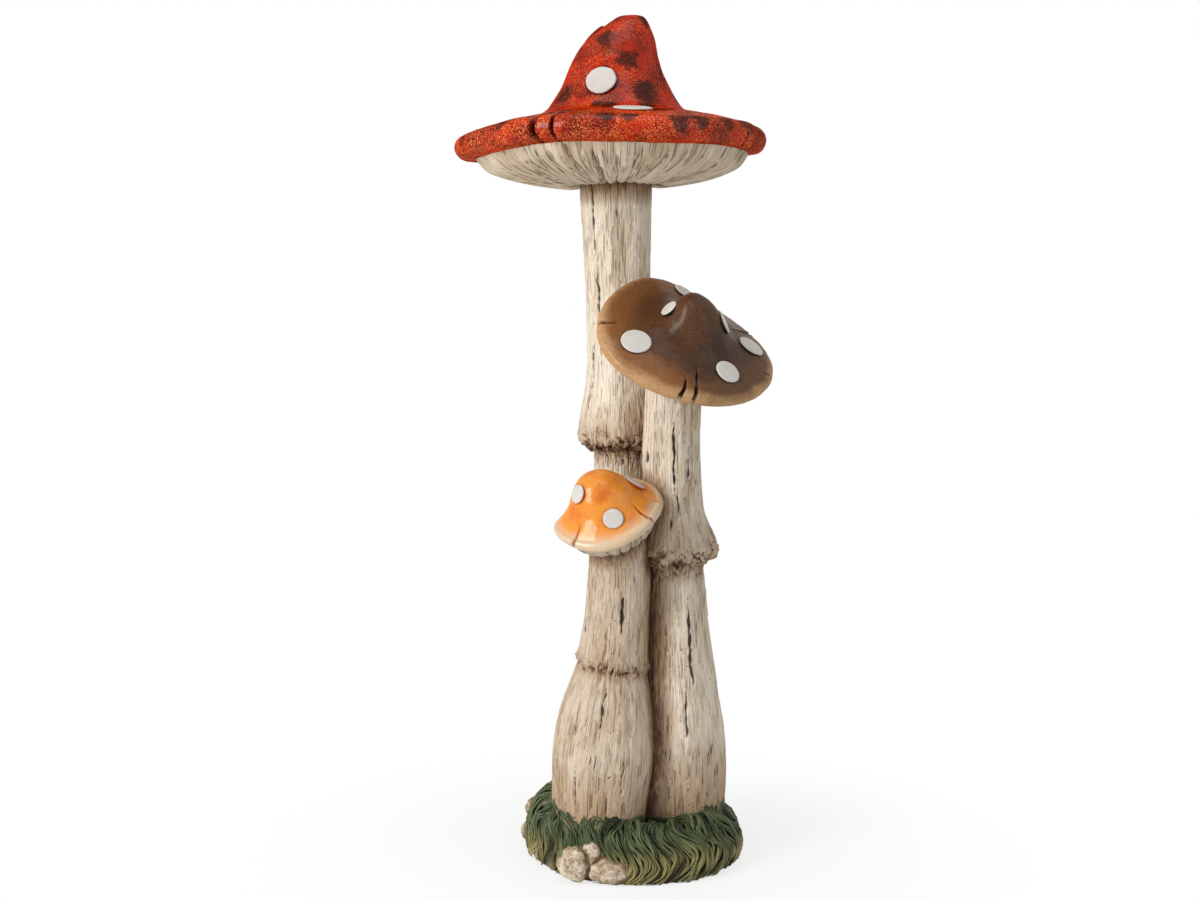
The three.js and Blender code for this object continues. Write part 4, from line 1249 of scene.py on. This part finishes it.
# The mound, in shares of its half width and shoulder height, and the strands on it.
mound = {
    "side": [(0.97, 0.012), (1.0, 0.3), (0.93, 0.72), (0.82, 0.93), (0.7, 1.0)],
    "middleShare": 0.3, "middleHeight": 42, "shoulderHeight": 53,
    "halfWidth": 102, "halfDepth": 108, "leftRise": 4, "frontFall": 5,
    "tufts": 24, "tuftDepth": 2.2, "tuftSway": 5, "wobble": [(2, 0.028, 45)],
    "rows": 90, "columns": 432,
}
strands = {
    "Columns": 220, "Rows": 10, "Length": 34 * mm, "Width": 1.35 * mm, "Wave": 6.5 * mm, "Seed": 11,
    "Clump Width": 13 * mm, "Clump Length": 60 * mm, "Clump Height": 3.2 * mm,
}
tips = {"reach": 13 * mm, "clear": 0.6 * mm, "rise": 0.45, "clearOfGround": 0.4 * mm}


def moundPiece():
    wide, tall = mound["halfWidth"], mound["shoulderHeight"]
    middle = mound["middleShare"] * wide
    stations = [(r * wide, h * tall) for r, h in mound["side"]] + [(middle, mound["middleHeight"])]
    outline = evenly(smoothLine(stations), mound["rows"])
    bearing = np.linspace(0, 2 * pi, mound["columns"], endpoint=False)
    radius, height = spun(outline, bearing)
    risen = np.minimum(1, height / tall)
    tuft = np.cos(mound["tufts"] * bearing) + 0.6 * np.cos(5 * bearing + 1)
    swayed = bearing + radians(mound["tuftSway"]) * np.sin(pi * risen)
    spread = 1 + risen * mound["tuftDepth"] * tuft / wide + waved(mound["wobble"], swayed)
    x = radius * np.sin(swayed) * spread
    y = -radius * np.cos(swayed) * spread * mound["halfDepth"] / wide
    outwards = np.minimum(1, np.hypot(x, y) / (2 * mound["middleShare"] * wide))
    slope = -mound["leftRise"] * np.sin(swayed) - mound["frontFall"] * np.cos(swayed)
    z = height + risen * outwards * (slope + mound["tuftDepth"] * tuft)
    # the skin under the strands is painted dark, as painted shade between them
    piece = skinPiece("grass_mound_skin", np.stack([x, y, z], axis=-1) * mm, {"tint": 0.1 * risen})
    mapSkin(piece.data, *radius.shape)
    blades = newPiece("grass_strands", piece.data.copy())
    shaped(blades, grassStrands, {
        **strands, "Material": paints["grass"], "Girth": 2 * pi * wide * mm, "Rise": lengthOf(outline) * mm})
    handWorked(piece, "grass", (12, 1.0), (3, 0.5), 2.0)
    mount(piece, "grass", "grass_mound")
    return blades


def settle(blades, skins):
    # strand tips that run into a stem lie up its bark instead, and none goes under the ground
    trees = [surfaceTree(skin.data) for skin in skins]
    points = meshPoints(blades.data)
    for i, point in enumerate(points):
        for tree in trees:
            spot, normal, _, distance = tree.find_nearest(Vector(point), tips["reach"])
            if spot is not None and (Vector(point) - spot).dot(normal) < tips["clear"]:
                points[i] = spot + normal * tips["clear"]
                points[i][2] += tips["rise"] * distance
    points[:, 2] = np.maximum(points[:, 2], tips["clearOfGround"])
    blades.data.vertices.foreach_set("co", points.ravel())
    blades.data.update()


blades = moundPiece()
settle(blades, stemSkins)
mount(blades, "grass")
print("grass laid:", len(blades.data.polygons), "faces")

# Pebbles in the mound's edge, each a little fuller than its solid, and the mortar that they sit in.
pebble = {
    "nodes": ["pebble_front_left", "pebble_front_right", "pebble_front_middle", "pebble_side_low",
              "pebble_side_high"],
    "level": 5, "clearOfGround": 0.4, "fuller": 1.03, "lump": 0.2, "bump": 0.07, "creaseShadeReach": 6,
    "grimeAndShade": 0.4, "creaseShade": 0.55, "mortarShare": 0.66, "mortarInset": 4, "mortarGrimeAndShade": 0.75,
}


def stone(name, centre, half, seed):
    work = bmesh.new()
    bmesh.ops.create_icosphere(work, subdivisions=pebble["level"], radius=1.0)
    for vertex in work.verts:
        direction = vertex.co.copy()
        lump = 1 + pebble["lump"] * noise.noise(direction * 1.5 + Vector((seed, 0, 0))) \
            + pebble["bump"] * noise.noise(direction * 3.4)
        vertex.co = Vector([centre[k] + direction[k] * half[k] * lump for k in range(3)])
        vertex.co.z = max(vertex.co.z, pebble["clearOfGround"] * mm)
    mesh = bpy.data.meshes.new(name)
    work.to_mesh(mesh)
    work.free()
    return newPiece(name, mesh)


def dressStone(piece, grimeAndShade, seed):
    piece.data.attributes.new("grimeAndShade", "FLOAT", "POINT").data.foreach_set("value", grimeAndShade)
    return handWorked(piece, "pebble", (9, 0.7), (3.2, 0.6), seed)


def pebblePiece(node, seed):
    low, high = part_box(node)
    piece = stone(node + "_stone", (low + high) / 2, (high - low) / 2 * pebble["fuller"], seed)
    others = [other for other in pebble["nodes"] if other != node] + ["grass_mound"]
    trees = [surfaceTree(nodeMesh(other)) for other in others]
    # painted shade where the pebble meets its neighbours and the mound, over its own grime
    near = nearness(meshPoints(piece.data), trees, pebble["creaseShadeReach"] * mm)
    dressStone(piece, pebble["grimeAndShade"] + pebble["creaseShade"] * near ** 1.5, seed)
    return mount(piece, "pebble", node)


def mortarPiece(name, nodes, seed):
    # the cement bed between neighbouring pebbles, a little behind their faces; its dark brown is grime and
    # painted shade in the crevices
    corners = [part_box(node) for node in nodes]
    low = Vector([min(corner[0][k] for corner in corners) for k in range(3)])
    high = Vector([max(corner[1][k] for corner in corners) for k in range(3)])
    centre = (low + high) / 2
    centre -= Vector((centre.x, centre.y, 0)).normalized() * (pebble["mortarInset"] * mm)
    piece = stone(name, centre, (high - low) / 2 * pebble["mortarShare"], seed)
    dressStone(piece, np.full(len(piece.data.vertices), pebble["mortarGrimeAndShade"]), seed)
    return mount(piece, "pebble")


for i, node in enumerate(pebble["nodes"]):
    pebblePiece(node, 2.0 + 1.7 * i)
mortarPiece("pebble_mortar_front", pebble["nodes"][:3], 21.0)
mortarPiece("pebble_mortar_side", pebble["nodes"][3:], 23.0)
print("pebbles set")

for cap in caps:
    dowel = nodeMesh(cap["name"] + "_dowel")
    dowel.materials.clear()
    dowel.materials.append(paints["steel"])

# Camera, floor, world and lamps.
view = {
    "place": (-0.032, -1.6, 0.52),
    "pitchDown": 4.6,
    "lens": 50.2,
}
studio = {
    "floorRadius": 4.0,
    "floorColor": (0.93, 0.93, 0.93, 1.0),
    "shadowReach": (0.1, 0.42),
    "shadowFade": 0.76,
    "worldColor": (1.0, 1.0, 1.0, 1.0),
    "worldLight": 0.33,
    "lampTarget": (0.0, 0.0, 0.42),
}
lamps = {
    "windowLeft": {"at": (-1.7, -1.3, 1.25), "size": (0.8, 1.5), "power": 38, "color": (1.0, 0.99, 0.97)},
    "fillRight": {"at": (1.9, -1.3, 1.2), "size": (1.2, 1.6), "power": 5, "color": (0.98, 0.99, 1.0)},
    "topSoft": {"at": (0.0, -0.4, 2.3), "size": (1.4, 1.4), "power": 11, "color": (1.0, 1.0, 1.0)},
    "backSoft": {"at": (0.3, 1.9, 1.5), "size": (1.4, 1.4), "power": 9, "color": (1.0, 1.0, 1.0)},
}


def whiteBeyond(tree):
    # 1 for rays from the camera and for reflections, which see a white background
    path = addNode(tree, "ShaderNodeLightPath").outputs
    seen = calc(tree, "MAXIMUM", path["Is Camera Ray"], path["Is Glossy Ray"])
    return calc(tree, "MAXIMUM", seen, path["Is Transmission Ray"])


def buildFloor():
    bpy.ops.mesh.primitive_circle_add(vertices=96, radius=studio["floorRadius"], fill_type="NGON")
    floor = bpy.context.object
    floor.name = "studio_floor"
    material = bpy.data.materials.new("paleFloor")
    material.use_nodes = True
    tree = material.node_tree
    tree.nodes.clear()
    away = vectorCalc(tree, "LENGTH", addNode(tree, "ShaderNodeTexCoord").outputs["Object"])
    far = between(tree, away, *studio["shadowReach"], studio["shadowFade"], 1.0)
    diffuse = addNode(tree, "ShaderNodeBsdfDiffuse", {"Color": studio["floorColor"]})
    white = addNode(tree, "ShaderNodeEmission", {"Color": studio["worldColor"], "Strength": 1.0})
    mixed = addNode(tree, "ShaderNodeMixShader", {
        0: times(tree, far, whiteBeyond(tree)), 1: diffuse.outputs[0], 2: white.outputs[0]})
    addNode(tree, "ShaderNodeOutputMaterial", {"Surface": mixed.outputs[0]})
    floor.data.materials.append(material)


def buildWorld():
    world = bpy.data.worlds.new("studioWorld")
    bpy.context.scene.world = world
    world.use_nodes = True
    tree = world.node_tree
    background = tree.nodes["Background"]
    background.inputs["Color"].default_value = studio["worldColor"]
    strength = between(tree, whiteBeyond(tree), 0.0, 1.0, studio["worldLight"], 1.0)
    tree.links.new(strength, background.inputs["Strength"])


def buildLamps():
    for name, spec in lamps.items():
        data = bpy.data.lights.new(name, "AREA")
        data.shape = "RECTANGLE"
        data.size, data.size_y = spec["size"]
        data.energy = spec["power"]
        data.color = spec["color"]
        lamp = newPiece(name, data)
        lamp.location = spec["at"]
        toTarget = Vector(studio["lampTarget"]) - lamp.location
        lamp.rotation_euler = toTarget.to_track_quat("-Z", "Y").to_euler()


def buildCamera():
    camera = newPiece("photoCamera", bpy.data.cameras.new("photoCamera"))
    camera.data.lens = view["lens"]
    camera.location = view["place"]
    camera.rotation_euler = Euler((radians(90 - view["pitchDown"]), 0, 0))
    bpy.context.scene.camera = camera


buildFloor()
buildWorld()
buildLamps()
buildCamera()
bpy.context.scene.view_settings.view_transform = "Standard"
print("studio set")
